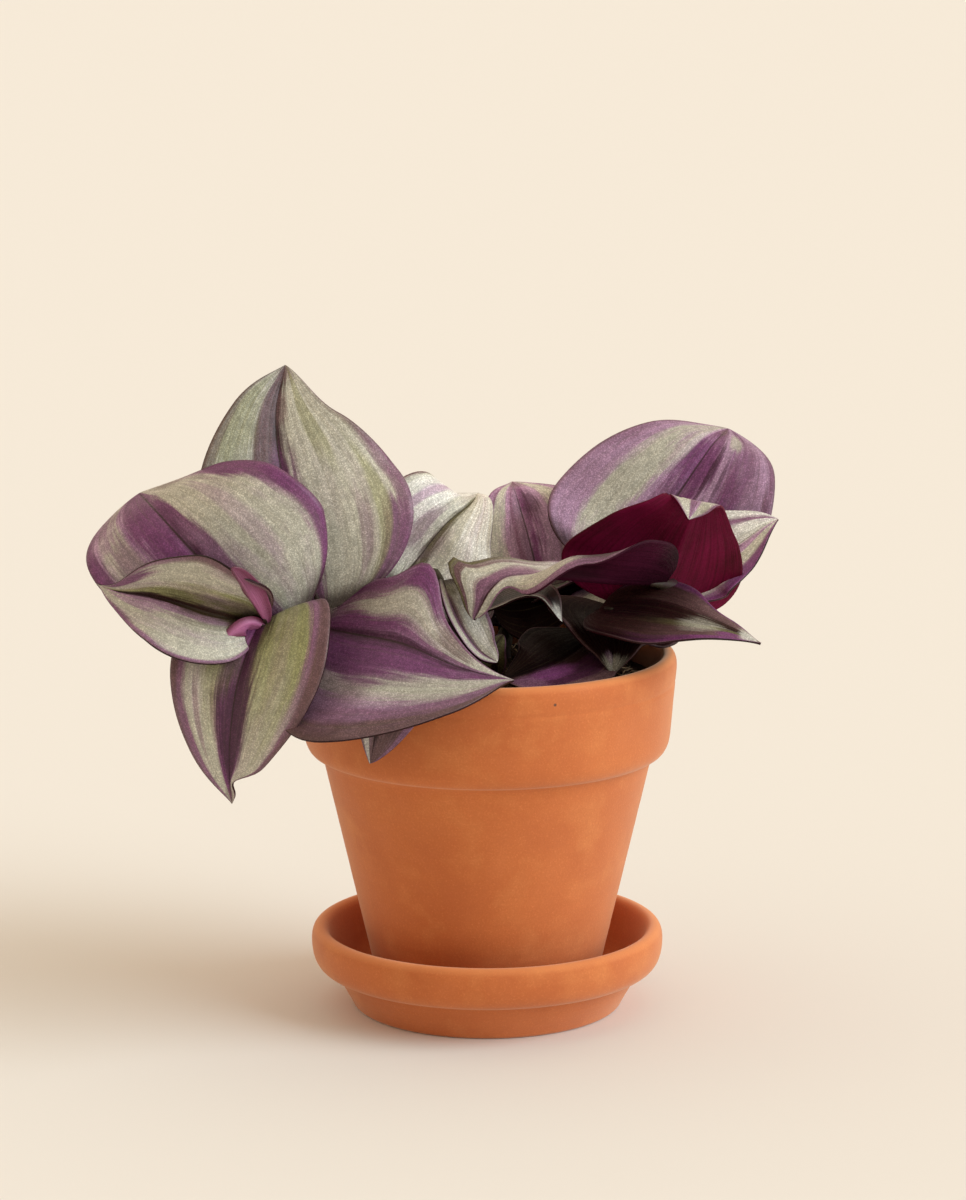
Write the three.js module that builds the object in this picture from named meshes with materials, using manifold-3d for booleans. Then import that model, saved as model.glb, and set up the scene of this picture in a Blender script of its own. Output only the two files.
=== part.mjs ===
import * as THREE from 'three';
import { mergeVertices } from 'three/addons/utils/BufferGeometryUtils.js';
import Module from 'manifold-3d';

// A striped tradescantia in a clay pot on its saucer. Millimetres, +Z up.
// The origin is the centre of the saucer's underside, on the pot's axis, and -Y faces the viewer.

// Pot: the lip is the driving size, the other radii and heights follow from it.
const lipDiameter = 90;
const lipRadius = lipDiameter / 2;
const potHeight = 0.903 * lipDiameter;
const footRadius = 0.292 * lipDiameter;
const neckRadius = lipRadius - 5.7;
const collarHeight = 24.7;
const collarFlare = 1.4;
const lipWidth = 3.7;
const potFloor = 4.5;
const drainRadius = 6;
const footRounding = 1.1;

// Saucer
const saucerRadius = 42.2;
const saucerFloor = 5;
const saucerHeight = 19.5;
const saucerFoot = 31.2;
const saucerWellRadius = 31;

// The pot stands flat on the saucer's floor.
const potFoot = saucerFloor;
const potTop = potFoot + potHeight;
const soilFloor = potFoot + potFloor;

// Soil and the stems that stand in it
const clearance = 0.3;
const soilEdge = potTop - 6.8;
const soilCrown = 1.4;
const holeFloor = 70;
const stemRadius = 1.9;
const stemStraight = 14;

// Leaves
const bladeThickness = 0.8;
const bladeStart = 0.012;
const neckWidth = 0.4;
const rowsAlong = 8;
const rowsAcross = 6;
const sheathBase = 1.8;
const sheathTip = 0.9;
const sheathReach = 0.09;

// Facets
const turnedSides = 44;
const arcSteps = 3;
const stemSides = 8;
const sheathSides = 6;
const holeSides = 20;
const smallestDetail = 0.05;

const wasm = await Module();
wasm.setup();

// A closed three.js geometry as a solid that can be joined and cut.
function solidOf(geometry) {
  const bare = geometry.clone();
  bare.deleteAttribute('normal');
  bare.deleteAttribute('uv');
  const merged = mergeVertices(bare, 1e-4);
  const corners = [];
  const index = merged.index.array;
  for (let i = 0; i < index.length; i += 3) {
    const [a, b, c] = [index[i], index[i + 1], index[i + 2]];
    if (a !== b && b !== c && c !== a) corners.push(a, b, c);
  }
  return new wasm.Manifold(new wasm.Mesh({
    numProp: 3,
    vertProperties: merged.attributes.position.array,
    triVerts: new Uint32Array(corners),
  }));
}

function geometryOf(solid) {
  const mesh = solid.simplify(smallestDetail).getMesh();
  const geometry = new THREE.BufferGeometry();
  geometry.setAttribute('position', new THREE.BufferAttribute(mesh.vertProperties, 3));
  geometry.setIndex(new THREE.BufferAttribute(mesh.triVerts, 1));
  geometry.computeVertexNormals();
  return geometry;
}

function namedMesh(name, solid, colour, roughness) {
  const material = new THREE.MeshStandardMaterial({ color: colour, roughness, metalness: 0 });
  const mesh = new THREE.Mesh(geometryOf(solid), material);
  mesh.name = name;
  return mesh;
}

// Turned clay and soil: a profile in radius and height, spun about the Z axis.
function turned(profile) {
  const geometry = new THREE.LatheGeometry(profile.getPoints(arcSteps), turnedSides);
  geometry.rotateX(Math.PI / 2);
  return solidOf(geometry);
}

function saucerSolid() {
  const rimBase = saucerHeight - 10.3;
  const profile = new THREE.Path();
  profile.moveTo(0, 0);
  profile.lineTo(saucerFoot, 0);
  profile.quadraticCurveTo(saucerFoot + 1, 0.1, saucerFoot + 1.4, 1.2);
  profile.lineTo(saucerRadius - 5.8, rimBase - 1.2);
  profile.quadraticCurveTo(saucerRadius - 5.3, rimBase - 0.1, saucerRadius - 3.8, rimBase);
  profile.quadraticCurveTo(saucerRadius - 0.3, rimBase + 0.3, saucerRadius, rimBase + 6.4);
  profile.quadraticCurveTo(saucerRadius + 0.1, saucerHeight, saucerRadius - 2.3, saucerHeight);
  profile.quadraticCurveTo(saucerRadius - 3.8, saucerHeight - 0.1, saucerRadius - 4.4, saucerHeight - 2.5);
  profile.lineTo(saucerRadius - 5.8, saucerHeight - 8.9);
  profile.quadraticCurveTo(saucerRadius - 6.9, saucerFloor + 0.6, saucerWellRadius, saucerFloor);
  profile.lineTo(0, saucerFloor);
  return turned(profile);
}

function potSolid() {
  const collarFoot = potTop - collarHeight;
  const collarRadius = lipRadius - collarFlare;
  const innerLip = lipRadius - lipWidth;
  const innerFloor = footRadius - lipWidth + 0.2;
  const profile = new THREE.Path();
  profile.moveTo(drainRadius, potFoot);
  profile.lineTo(footRadius - footRounding, potFoot);
  profile.quadraticCurveTo(footRadius, potFoot, footRadius + 0.2, potFoot + footRounding);
  profile.lineTo(neckRadius, collarFoot);
  profile.quadraticCurveTo(collarRadius - 0.6, collarFoot + 0.2, collarRadius, collarFoot + 5.8);
  profile.lineTo(lipRadius, potTop - 3.7);
  profile.quadraticCurveTo(lipRadius + 0.2, potTop + 0.1, lipRadius - 2.1, potTop);
  profile.quadraticCurveTo(innerLip + 0.2, potTop - 0.1, innerLip, potTop - 1.9);
  profile.lineTo(innerFloor, soilFloor);
  profile.lineTo(drainRadius, soilFloor);
  profile.lineTo(drainRadius, potFoot);
  return turned(profile);
}

// The soil fills the pot, with a plain flat-bottomed hole for each stem.
function soilSolid(roots) {
  const innerLip = lipRadius - lipWidth;
  const innerFloor = footRadius - lipWidth + 0.2;
  const rise = (soilEdge - soilFloor) / (potTop - 1.9 - soilFloor);
  const edgeRadius = innerFloor + (innerLip - innerFloor) * rise - clearance;
  const profile = new THREE.Path();
  profile.moveTo(0, soilFloor);
  profile.lineTo(innerFloor - clearance, soilFloor);
  profile.lineTo(edgeRadius, soilEdge);
  profile.quadraticCurveTo(edgeRadius * 0.55, soilEdge + soilCrown, 0, soilEdge + soilCrown);
  let soil = turned(profile);
  const holeHeight = soilEdge + soilCrown + 2 - holeFloor;
  for (const [x, y] of roots) {
    const hole = new THREE.CylinderGeometry(
      stemRadius + clearance, stemRadius + clearance, holeHeight, holeSides);
    hole.rotateX(Math.PI / 2);
    hole.translate(x, y, holeFloor + holeHeight / 2);
    soil = soil.subtract(solidOf(hole));
  }
  return soil;
}

// A smooth curve through hand-set points.
function smoothCurve(points) {
  const corners = points.map((p) => new THREE.Vector3(...p));
  return new THREE.CatmullRomCurve3(corners, false, 'catmullrom', 0.5);
}

// A value between evenly spaced stations along the leaf, eased from one to the next.
function between(stations, t) {
  const last = stations.length - 1;
  if (last === 0) return stations[0];
  const place = THREE.MathUtils.clamp(t, 0, 1) * last;
  const i = Math.min(Math.floor(place), last - 1);
  const f = place - i;
  const ease = f * f * (3 - 2 * f);
  return stations[i] * (1 - ease) + stations[i + 1] * ease;
}

// The half width of one side of a blade: its greatest width, and how full it is at base and tip.
// A lobe swells or pinches it round one place: where along the blade, how much and how far it reaches.
function halfWidth([widest, baseFullness, tipFullness], lobe, t) {
  const belly = baseFullness / (baseFullness + tipFullness);
  const peak = belly ** baseFullness * (1 - belly) ** tipFullness;
  const share = (t ** baseFullness * (1 - t) ** tipFullness) / peak;
  const [middle, extra, reach] = lobe ?? [0.5, 0, 1];
  return neckWidth + (widest - neckWidth) * share + extra * Math.exp(-(((t - middle) / reach) ** 2));
}

// A point on the middle surface of a blade: u runs from the left edge, -1, to the right edge, 1,
// and t from the base, 0, to the tip, 1. Each half is raised by its fold and bent on by its curl.
function bladePoint(leaf, u, t) {
  const rib = leaf.curve.getPointAt(t);
  const along = leaf.curve.getTangentAt(t);
  const up = new THREE.Vector3(
    between(leaf.face.map((d) => d[0]), t),
    between(leaf.face.map((d) => d[1]), t),
    between(leaf.face.map((d) => d[2]), t),
  );
  up.addScaledVector(along, -up.dot(along)).normalize();
  const right = new THREE.Vector3().crossVectors(along, up);
  const side = u < 0 ? 'Left' : 'Right';
  const out = Math.abs(u);
  const width = halfWidth(u < 0 ? leaf.left : leaf.right, leaf['lobe' + side], t);
  const fold = THREE.MathUtils.degToRad(between(leaf['fold' + side] ?? leaf.fold, t));
  const bend = THREE.MathUtils.degToRad(between(leaf['curl' + side] ?? leaf.curl, t));
  const curl = Math.abs(bend) < 1e-3 ? 1e-3 : bend;
  const across = (width * (Math.sin(fold + curl * out) - Math.sin(fold))) / curl;
  const raised = (width * (Math.cos(fold) - Math.cos(fold + curl * out))) / curl;
  return rib.addScaledVector(right, Math.sign(u) * across).addScaledVector(up, raised);
}

function bladeNormal(leaf, u, t) {
  const step = 1e-3;
  const [u0, u1] = [Math.max(u - step, -1), Math.min(u + step, 1)];
  const [t0, t1] = [Math.max(t - step, bladeStart), Math.min(t + step, 1)];
  const across = bladePoint(leaf, u1, t).sub(bladePoint(leaf, u0, t));
  const along = bladePoint(leaf, u, t1).sub(bladePoint(leaf, u, t0));
  return across.cross(along).normalize();
}

// A blade is a sheet with an upper and a lower face, split into triangles alike, and a narrow edge.
function bladeSolid(leaf) {
  const rows = leaf.small ? rowsAlong - 4 : rowsAlong;
  const columns = leaf.small ? rowsAcross - 2 : rowsAcross;
  const sheet = new THREE.PlaneGeometry(2, 1, columns, rows);
  const count = sheet.attributes.position.count;
  const places = new Float32Array(count * 6);
  for (let i = 0; i < count; i += 1) {
    const u = sheet.attributes.position.getX(i);
    const s = sheet.attributes.position.getY(i) + 0.5;
    const t = bladeStart + (1 - bladeStart) * (0.5 - 0.5 * Math.cos(Math.PI * s));
    const middle = bladePoint(leaf, u, t);
    const lift = bladeNormal(leaf, u, t).multiplyScalar(bladeThickness / 2);
    middle.clone().add(lift).toArray(places, i * 3);
    middle.clone().sub(lift).toArray(places, (count + i) * 3);
  }
  const upper = Array.from(sheet.index.array);
  const faces = [...upper];
  for (let i = 0; i < upper.length; i += 3) {
    faces.push(count + upper[i], count + upper[i + 2], count + upper[i + 1]);
  }
  const edge = edgeLoop(columns, rows);
  for (let i = 0; i < edge.length; i += 1) {
    const a = edge[i];
    const b = edge[(i + 1) % edge.length];
    faces.push(a, count + a, b, b, count + a, count + b);
  }
  const geometry = new THREE.BufferGeometry();
  geometry.setAttribute('position', new THREE.BufferAttribute(places, 3));
  geometry.setIndex(faces);
  return solidOf(geometry);
}

// The sheet's border, in the turning sense that makes the edge face outwards.
function edgeLoop(columns, rows) {
  const at = (column, row) => row * (columns + 1) + column;
  const loop = [];
  for (let row = 0; row < rows; row += 1) loop.push(at(0, row));
  for (let column = 0; column < columns; column += 1) loop.push(at(column, rows));
  for (let row = rows; row > 0; row -= 1) loop.push(at(columns, row));
  for (let column = columns; column > 0; column -= 1) loop.push(at(column, 0));
  return loop;
}

// A stem is a round tube: straight up out of its hole, then along the shoot's own curve.
function stemCurve(shoot) {
  const [x, y] = shoot.root;
  const straight = [0, 0.36, 0.71, 1].map((s) => [x, y, holeFloor + stemStraight * s]);
  return smoothCurve([...straight, ...shoot.stem]);
}

function stemSolid(curve) {
  const round = new THREE.Shape();
  round.absarc(0, 0, stemRadius, 0, 2 * Math.PI);
  const geometry = new THREE.ExtrudeGeometry(round, {
    steps: Math.round(curve.getLength() / (1.7 * stemRadius)),
    curveSegments: stemSides / 2,
    bevelEnabled: false,
    extrudePath: curve,
  });
  return solidOf(geometry);
}

// The sheath that clasps the stem and runs into a leaf's rib.
function sheathSolid(stem, leaf) {
  const tip = leaf.curve.getPointAt(sheathReach);
  let base = stem.getPointAt(0);
  for (let i = 1; i <= 60; i += 1) {
    const place = stem.getPointAt(i / 60);
    if (place.distanceTo(leaf.curve.getPointAt(0)) < base.distanceTo(leaf.curve.getPointAt(0))) {
      base = place;
    }
  }
  const run = tip.clone().sub(base);
  const geometry = new THREE.CylinderGeometry(sheathTip, sheathBase, run.length(), sheathSides);
  const turn = new THREE.Quaternion().setFromUnitVectors(
    new THREE.Vector3(0, 1, 0), run.clone().normalize());
  geometry.applyQuaternion(turn);
  geometry.translate(base.x + run.x / 2, base.y + run.y / 2, base.z + run.z / 2);
  return solidOf(geometry);
}

function shootSolid(shoot) {
  const stem = stemCurve(shoot);
  let solid = stemSolid(stem);
  for (const leaf of shoot.leaves) {
    leaf.curve = smoothCurve(leaf.rib);
    solid = solid.add(sheathSolid(stem, leaf)).add(bladeSolid(leaf));
  }
  return solid;
}

// Each leaf has its rib from base to tip, the directions that its upper side looks in, and for each
// side its widest half width with the fullness at base and tip. Folds and curls are in degrees.
const leftShoot = {
  root: [-15, -12],
  stem: [[-20, -15, 89], [-29, -20, 95], [-38, -26, 98], [-46, -32.5, 99], [-51, -38.5, 100]],
  leaves: [
    { // tall leaf
      rib: [[-38, -26, 100], [-43, -27, 116], [-47, -21, 130], [-49, -13, 144], [-47, -6, 155]],
      face: [[0.1, -1, 0.25], [0, -1, 0.3], [0, -0.9, 0.5]],
      left: [23, 0.5, 1],
      right: [28, 0.5, 0.9],
      foldLeft: [20, 30, 25],
      foldRight: [10, 5, 10],
      curl: [0, -20, 0],
    },
    { // round leaf
      rib: [[-46, -33, 97], [-56, -40, 106], [-67, -41, 118], [-75, -33, 125], [-80, -20, 127]],
      face: [[-0.1, -1, 0.1], [-0.25, -0.9, 0.35], [-0.45, -0.3, 0.85]],
      left: [21.5, 0.7, 0.37],
      right: [29, 0.46, 0.78],
      fold: [10, 10, 5],
      curl: [-20, -30, -20],
    },
    { // boat leaf
      rib: [[-51, -41, 101], [-61, -47.5, 104], [-73, -48, 108], [-83, -45, 109], [-88, -42, 110]],
      face: [[0.05, -1, 0.15]],
      left: [14.4, 1.1, 1.5],
      right: [18.5, 1, 2],
      foldLeft: [38, 38, 30],
      foldRight: [40, 42, 42, 38, 30],
      curlLeft: [0],
      curlRight: [50, 30, 0, 0, 0],
    },
    { // rolled young leaf
      small: true,
      rib: [[-49.6, -45, 101.7], [-52.6, -56, 110], [-56, -63, 117.6]],
      face: [[0.3, 0.9, 0.3]],
      left: [3.4, 0.7, 0.6],
      right: [2.6, 0.7, 0.6],
      fold: [35],
      curl: [0],
    },
    { // hanging leaf
      rib: [[-49, -35, 101], [-52, -46, 100], [-56, -52.5, 89], [-58, -51, 74], [-58, -45, 60]],
      face: [[-0.35, -0.5, 0.7], [-0.1, -1, 0.1], [0, -1, -0.1]],
      left: [19.5, 0.5, 1.15],
      right: [17, 0.5, 1.1],
      lobeLeft: [0.885, -3.5, 0.055],
      foldLeft: [15, 15, 20],
      foldRight: [10],
      curlLeft: [-20, -5, 0],
      curlRight: [-20, -30, 0],
    },
    { // pointing leaf, along the rim
      rib: [[-40, -26, 97], [-31, -36, 97.5], [-19, -43, 96.5], [-6, -46, 91.6], [6, -45.5, 88.5]],
      face: [[-0.14, -0.62, 0.62], [-0.14, -0.62, 0.62], [0, -0.6, 0.7]],
      left: [14.5, 0.7, 1.7],
      right: [33, 0.82, 1.25],
      lobeLeft: [0.48, 8, 0.09],
      fold: [5, 15, 20],
      curl: [0, -10, 0],
    },
    { // lip leaf, under the pointing leaf
      rib: [[-25, -20, 91], [-21, -32, 91.5], [-21, -42, 90], [-24, -47.5, 83], [-26.5, -48, 70]],
      face: [[0, -0.3, 1], [0, -0.9, 0.4], [0, -1, 0]],
      left: [13, 0.5, 0.8],
      right: [8, 0.6, 0.9],
      foldLeft: [-5, 0, 15],
      foldRight: [0, 5, 15],
      curl: [0],
    },
    { // bud
      small: true,
      rib: [[-49.9, -45, 101], [-54.5, -49, 102.2], [-61.2, -50, 97.3]],
      face: [[0, 0.9, 0.3]],
      left: [1.6, 0.5, 1],
      right: [6, 0.5, 2.4],
      foldLeft: [45],
      foldRight: [15],
      curl: [0],
    },
  ],
};

const middleShoot = {
  root: [-7, 0],
  stem: [[-9, -2.5, 91], [-12.5, -8, 101], [-12.5, -14, 107]],
  leaves: [
    { // crest leaf
      rib: [[-22, -5, 102], [-16, -1, 109], [-10, 2, 116], [-4, 8, 120], [-2, 17, 121]],
      face: [[0, -1, 0.1], [0, -0.95, 0.3], [-0.2, -0.5, 0.8]],
      left: [17, 0.4, 0.9],
      right: [23, 0.33, 1.5],
      fold: [15, 20, 15],
      curl: [0, -20, 0],
    },
    { // narrow young leaf
      small: true,
      rib: [[-10.5, -18, 106.5], [-8.5, -22, 102], [-5.7, -25, 96.5], [-2, -27, 91.7], [2.2, -28, 89]],
      face: [[0.5, -0.8, 0.3]],
      left: [7, 0.5, 0.6],
      right: [4.6, 0.5, 0.6],
      foldLeft: [20],
      foldRight: [35],
      curl: [0],
    },
    { // leaf at the back left
      rib: [[-10, -1, 95], [-24, 8, 103], [-38, 14, 104], [-54, 20, 95]],
      face: [[0, 0.1, 1], [-0.2, 0.1, 1], [-0.5, 0.2, 0.8]],
      left: [19, 0.42, 0.9],
      right: [18, 0.42, 0.9],
      fold: [20, 15, 10],
      curl: [0, -30, -20],
    },
  ],
};

const rightShoot = {
  root: [14, 4],
  stem: [[20, 2, 89.5], [29, -1.5, 95.5], [37.5, -5, 99.3], [43, -8.5, 103]],
  leaves: [
    { // big leaf
      rib: [[30, 3, 101], [38, 11, 110], [46, 17, 121], [54, 25, 131], [59, 38, 133.5]],
      face: [[-0.2, -0.95, 0.1], [0.1, -0.8, 0.6], [0.3, -0.1, 0.95]],
      left: [26, 0.26, 0.75],
      right: [24, 0.5, 0.7],
      fold: [10, 10, 5],
      curl: [-10, -20, -10],
    },
    { // cupped leaf, its underside to the viewer
      rib: [[39, 0, 95], [42.5, -4, 104.5], [46, -9, 115], [48.9, -13.5, 124], [46.5, -17, 120.5]],
      face: [
        [-0.25, 0.8, 0.5], [-0.25, 0.8, 0.5], [-0.25, 0.8, 0.5], [-0.25, 0.8, 0.5],
        [-0.25, 0.8, 0.5], [0.12, 0.1, 0.85], [0.35, -0.64, 0.4],
      ],
      left: [19, 0.35, 1.05],
      right: [26, 0.36, 0.95],
      foldLeft: [0],
      foldRight: [15, 15, 0],
      curl: [0],
    },
    { // flag leaf
      rib: [[44, 3, 99.7], [50.7, 7, 105], [59.4, 8, 110], [65.4, 9, 114], [69.4, 10, 116]],
      face: [[0, -0.8, 0.55]],
      left: [12, 0.5, 0.9],
      right: [11.5, 0.5, 1.1],
      fold: [15, 20, 20],
      curl: [0],
    },
    { // arched leaf, rolled along its upper edge
      rib: [
        [42, -10, 104], [31, -19, 106], [18, -24, 108], [6, -26, 109], [1, -28, 106], [-3, -28, 99],
      ],
      face: [[0, 0.1, 1], [0, 0, 1], [-0.2, -0.8, 0.4]],
      left: [16, 0.45, 0.8],
      right: [11.2, 0.6, 0.55],
      lobeLeft: [0.8, -6.5, 0.13],
      lobeRight: [0.865, 5.8, 0.045],
      foldLeft: [50, 50, 80, 10, 0],
      foldRight: [20, 20, 10, -10, 10],
      curlLeft: [0, -10, -110, -40, -10],
      curlRight: [0],
    },
    { // shelf leaf
      rib: [[26, -10, 98], [37, -18, 99], [47, -23, 98], [56, -25, 96], [63, -26, 93]],
      face: [[0, -0.2, 1]],
      left: [14, 0.5, 1.4],
      right: [15, 0.5, 1.3],
      foldLeft: [20, 20, 15],
      foldRight: [0],
      curl: [0, -15, -10],
    },
    { // beak leaf
      rib: [[28, 2, 97], [28, -5, 94], [28, -14, 92], [29, -19, 89], [29, -21, 84]],
      face: [[0, -0.2, 1], [0, -0.4, 0.9], [0, -0.9, 0.4]],
      left: [18, 0.5, 1.3],
      right: [15, 0.5, 1.3],
      foldLeft: [0, -10, 10],
      foldRight: [20, 25, 25],
      curl: [0, -10, -10],
    },
    { // low leaf
      rib: [[25, -5, 90], [19, -16, 88], [13, -25, 87], [4, -29, 85]],
      face: [[0, -0.3, 1]],
      left: [13, 0.6, 0.6],
      right: [12, 0.5, 0.8],
      foldLeft: [0, -5, 0],
      foldRight: [15],
      curl: [0],
    },
    { // leaf at the back right
      rib: [[24, 1, 92], [36, 9, 96], [47, 15, 95], [58, 21, 87]],
      face: [[0, 0.1, 1], [0.2, 0.1, 1], [0.5, 0.2, 0.8]],
      left: [16, 0.42, 0.9],
      right: [17, 0.42, 0.9],
      fold: [20, 15, 10],
      curl: [0, -30, -20],
    },
  ],
};

const frontShoot = {
  root: [-3, -14],
  stem: [[-2.5, -14.5, 88], [-1, -13, 97]],
  leaves: [
    { // small hooked leaf
      small: true,
      rib: [[-1, -12, 98], [7, -13, 101.4], [13.5, -14, 102], [17.3, -15, 96]],
      face: [[0, -0.2, 1], [0, -0.2, 1], [0.6, -0.6, 0.4]],
      left: [6, 0.5, 1.1],
      right: [4.5, 0.5, 0.9],
      fold: [10, 15, 15],
      curl: [0],
    },
    { // small upright leaf
      small: true,
      rib: [[1.5, -13, 82], [2, -14.5, 86], [2.2, -15, 89.5], [3.6, -15, 93]],
      face: [[0.2, -1, 0]],
      left: [4.5, 0.5, 0.6],
      right: [2.5, 0.5, 0.6],
      fold: [20],
      curl: [0],
    },
  ],
};

const backShoot = {
  root: [4, 16],
  stem: [[5, 18, 89], [7.5, 21.5, 96], [8, 24, 102]],
  leaves: [
    { // fan leaf
      rib: [[13, 15, 98], [11, 18, 106], [9, 21, 113], [7, 26, 119], [6, 34, 121]],
      face: [[0, -1, 0.1], [0, -0.9, 0.3], [0, -0.6, 0.8]],
      left: [16, 0.5, 1.3],
      right: [20, 0.5, 0.8],
      foldLeft: [15],
      foldRight: [0],
      curl: [0, -20, 0],
    },
    { // inner leaf, which closes the hollow behind the arched leaf
      rib: [[-1, 19, 98], [8, 21.5, 99.5], [19, 22.5, 100], [28, 24, 98]],
      face: [[0, -0.8, 0.6]],
      left: [9, 0.5, 0.8],
      right: [19, 0.25, 0.8],
      fold: [10],
      curl: [0, -15, 0],
    },
    { // leaf to the back left
      rib: [[4, 20, 97], [-12, 30, 106], [-28, 42, 108], [-42, 55, 98]],
      face: [[0, 0.1, 1], [-0.2, 0.3, 1], [-0.3, 0.5, 0.7]],
      left: [20, 0.42, 0.9],
      right: [22, 0.42, 0.9],
      fold: [20, 15, 10],
      curl: [0, -30, -20],
    },
    { // leaf straight back
      rib: [[8, 24, 102], [10, 38, 110], [13, 52, 106], [16, 62, 92]],
      face: [[0, -0.2, 1], [0, 0.3, 1], [0, 0.8, 0.5]],
      left: [21, 0.42, 0.9],
      right: [21, 0.42, 0.9],
      fold: [20, 15, 10],
      curl: [0, -30, -20],
    },
    { // leaf to the back right
      rib: [[7, 20, 92], [17, 32, 99], [29, 44, 96], [39, 54, 84]],
      face: [[0, 0.1, 1], [0.3, 0.3, 1], [0.5, 0.5, 0.6]],
      left: [18, 0.42, 0.9],
      right: [18, 0.42, 0.9],
      fold: [20, 15, 10],
      curl: [0, -30, -20],
    },
    { // leaf that trails down behind
      rib: [[5, 17, 88], [-6, 34, 93], [-14, 48, 84], [-18, 54, 66]],
      face: [[0, -0.1, 1], [-0.1, 0.6, 0.8], [-0.2, 1, 0.2]],
      left: [18, 0.42, 0.9],
      right: [18, 0.42, 0.9],
      fold: [20, 15, 10],
      curl: [0, -20, -10],
    },
  ],
};

const shoots = {
  left_shoot: leftShoot,
  middle_shoot: middleShoot,
  right_shoot: rightShoot,
  front_shoot: frontShoot,
  back_shoot: backShoot,
};

const plant = new THREE.Group();
plant.add(namedMesh('saucer', saucerSolid(), 0xc87a4a, 0.85));
plant.add(namedMesh('pot', potSolid(), 0xcd7d4c, 0.85));
const roots = Object.values(shoots).map((shoot) => shoot.root);
plant.add(namedMesh('soil', soilSolid(roots), 0x3a2c22, 0.95));
for (const [name, shoot] of Object.entries(shoots)) {
  plant.add(namedMesh(name, shootSolid(shoot), 0x8f8e84, 0.5));
}

export default plant;
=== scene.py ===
import math
import random

import bmesh
import bpy
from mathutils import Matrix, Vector, noise


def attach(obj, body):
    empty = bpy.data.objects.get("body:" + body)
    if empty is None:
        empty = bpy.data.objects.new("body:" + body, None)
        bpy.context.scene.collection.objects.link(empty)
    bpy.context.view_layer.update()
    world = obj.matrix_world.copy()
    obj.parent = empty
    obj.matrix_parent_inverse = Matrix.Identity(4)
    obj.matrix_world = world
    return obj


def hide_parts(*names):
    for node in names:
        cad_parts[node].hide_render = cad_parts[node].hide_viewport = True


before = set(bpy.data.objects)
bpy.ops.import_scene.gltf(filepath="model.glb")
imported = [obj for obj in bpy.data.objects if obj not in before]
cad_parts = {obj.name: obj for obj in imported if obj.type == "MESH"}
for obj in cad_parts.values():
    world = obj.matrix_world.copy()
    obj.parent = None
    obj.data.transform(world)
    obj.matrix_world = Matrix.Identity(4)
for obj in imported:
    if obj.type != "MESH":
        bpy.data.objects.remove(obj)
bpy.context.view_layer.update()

mm = 0.001  # forms are given in mm, meshes are made in metres
fullTurn = 2 * math.pi
scene = bpy.context.scene
scene.view_settings.view_transform = "Standard"
print("frame loaded:", len(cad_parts), "nodes")


# helpers for meshes
def meshPiece(name, bm, materials, smooth=True):
    for face in bm.faces:
        face.smooth = smooth
    mesh = bpy.data.meshes.new(name)
    bm.to_mesh(mesh)
    bm.free()
    piece = bpy.data.objects.new(name, mesh)
    scene.collection.objects.link(piece)
    for material in materials:
        mesh.materials.append(material)
    return piece


def bent(start, bend, end, t):
    # a value on the way from start to end that leans towards bend
    return (1 - t) ** 2 * start + 2 * t * (1 - t) * bend + t * t * end


def wallPoints(start, runs):
    # a wall's outline as points (radius, height): each run goes on to its end in a number of steps,
    # straight, or rounded if it has a bend before its end
    points = [start]
    for *bend, end, steps in runs:
        for i in range(1, steps + 1):
            t = i / steps
            if bend:
                points.append([bent(a, b, c, t) for a, b, c in zip(start, bend[0], end)])
            else:
                points.append([a + (c - a) * t for a, c in zip(start, end)])
        start = end
    return points


def spunSolid(points, steps, closed):
    # an outline turned about the pot's axis
    bm = bmesh.new()
    ring = [bm.verts.new((r * mm, 0, z * mm)) for r, z in points]
    edges = [bm.edges.new((a, b)) for a, b in zip(ring, ring[1:])]
    if closed:
        edges.append(bm.edges.new((ring[-1], ring[0])))
    bmesh.ops.spin(bm, geom=ring + edges, cent=(0, 0, 0), axis=(0, 0, 1), angle=fullTurn,
                   steps=steps, use_merge=True)
    bmesh.ops.remove_doubles(bm, verts=bm.verts, dist=2e-6)
    bmesh.ops.recalc_face_normals(bm, faces=bm.faces)
    return bm


# helpers for materials
def newMaterial(name):
    material = bpy.data.materials.new(name)
    material.use_nodes = True
    tree = material.node_tree
    tree.nodes.clear()
    shader = addNode(tree, "BsdfPrincipled")
    addNode(tree, "OutputMaterial", {0: shader.outputs[0]})
    return material, tree, shader


def addNode(tree, kind, inputs=None, **settings):
    node = tree.nodes.new("ShaderNode" + kind)
    for key, value in settings.items():
        setattr(node, key, value)
    for key, value in (inputs or {}).items():
        if isinstance(value, bpy.types.NodeSocket):
            tree.links.new(value, node.inputs[key])
        else:
            node.inputs[key].default_value = value
    return node


def calc(tree, operation, a, b=0.0, c=0.0, clamp=False):
    node = addNode(tree, "Math", {0: a, 1: b, 2: c}, operation=operation, use_clamp=clamp)
    return node.outputs[0]


def vectorCalc(tree, operation, a, b=(0, 0, 0)):
    return addNode(tree, "VectorMath", {0: a, 1: b}, operation=operation).outputs[0]


def vectorLength(tree, vector):
    return addNode(tree, "VectorMath", {0: vector}, operation="LENGTH").outputs["Value"]


def scaled(tree, vector, amount):
    return addNode(tree, "VectorMath", {0: vector, "Scale": amount}, operation="SCALE").outputs[0]


def mapped(tree, vector, scale=(1, 1, 1), shift=(0, 0, 0)):
    return addNode(tree, "Mapping", {"Vector": vector, "Location": shift, "Scale": scale}).outputs[0]


def blend(tree, factor, first, second):
    node = addNode(tree, "Mix", {0: factor, 6: first, 7: second}, data_type="RGBA", clamp_factor=True)
    return node.outputs[2]


def spread(tree, value, low, high, toLow=0.0, toHigh=1.0, smooth=False):
    node = addNode(tree, "MapRange",
                   {0: value, 1: low, 2: high, 3: toLow, 4: toHigh},
                   interpolation_type="SMOOTHSTEP" if smooth else "LINEAR")
    return node.outputs[0]


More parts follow.
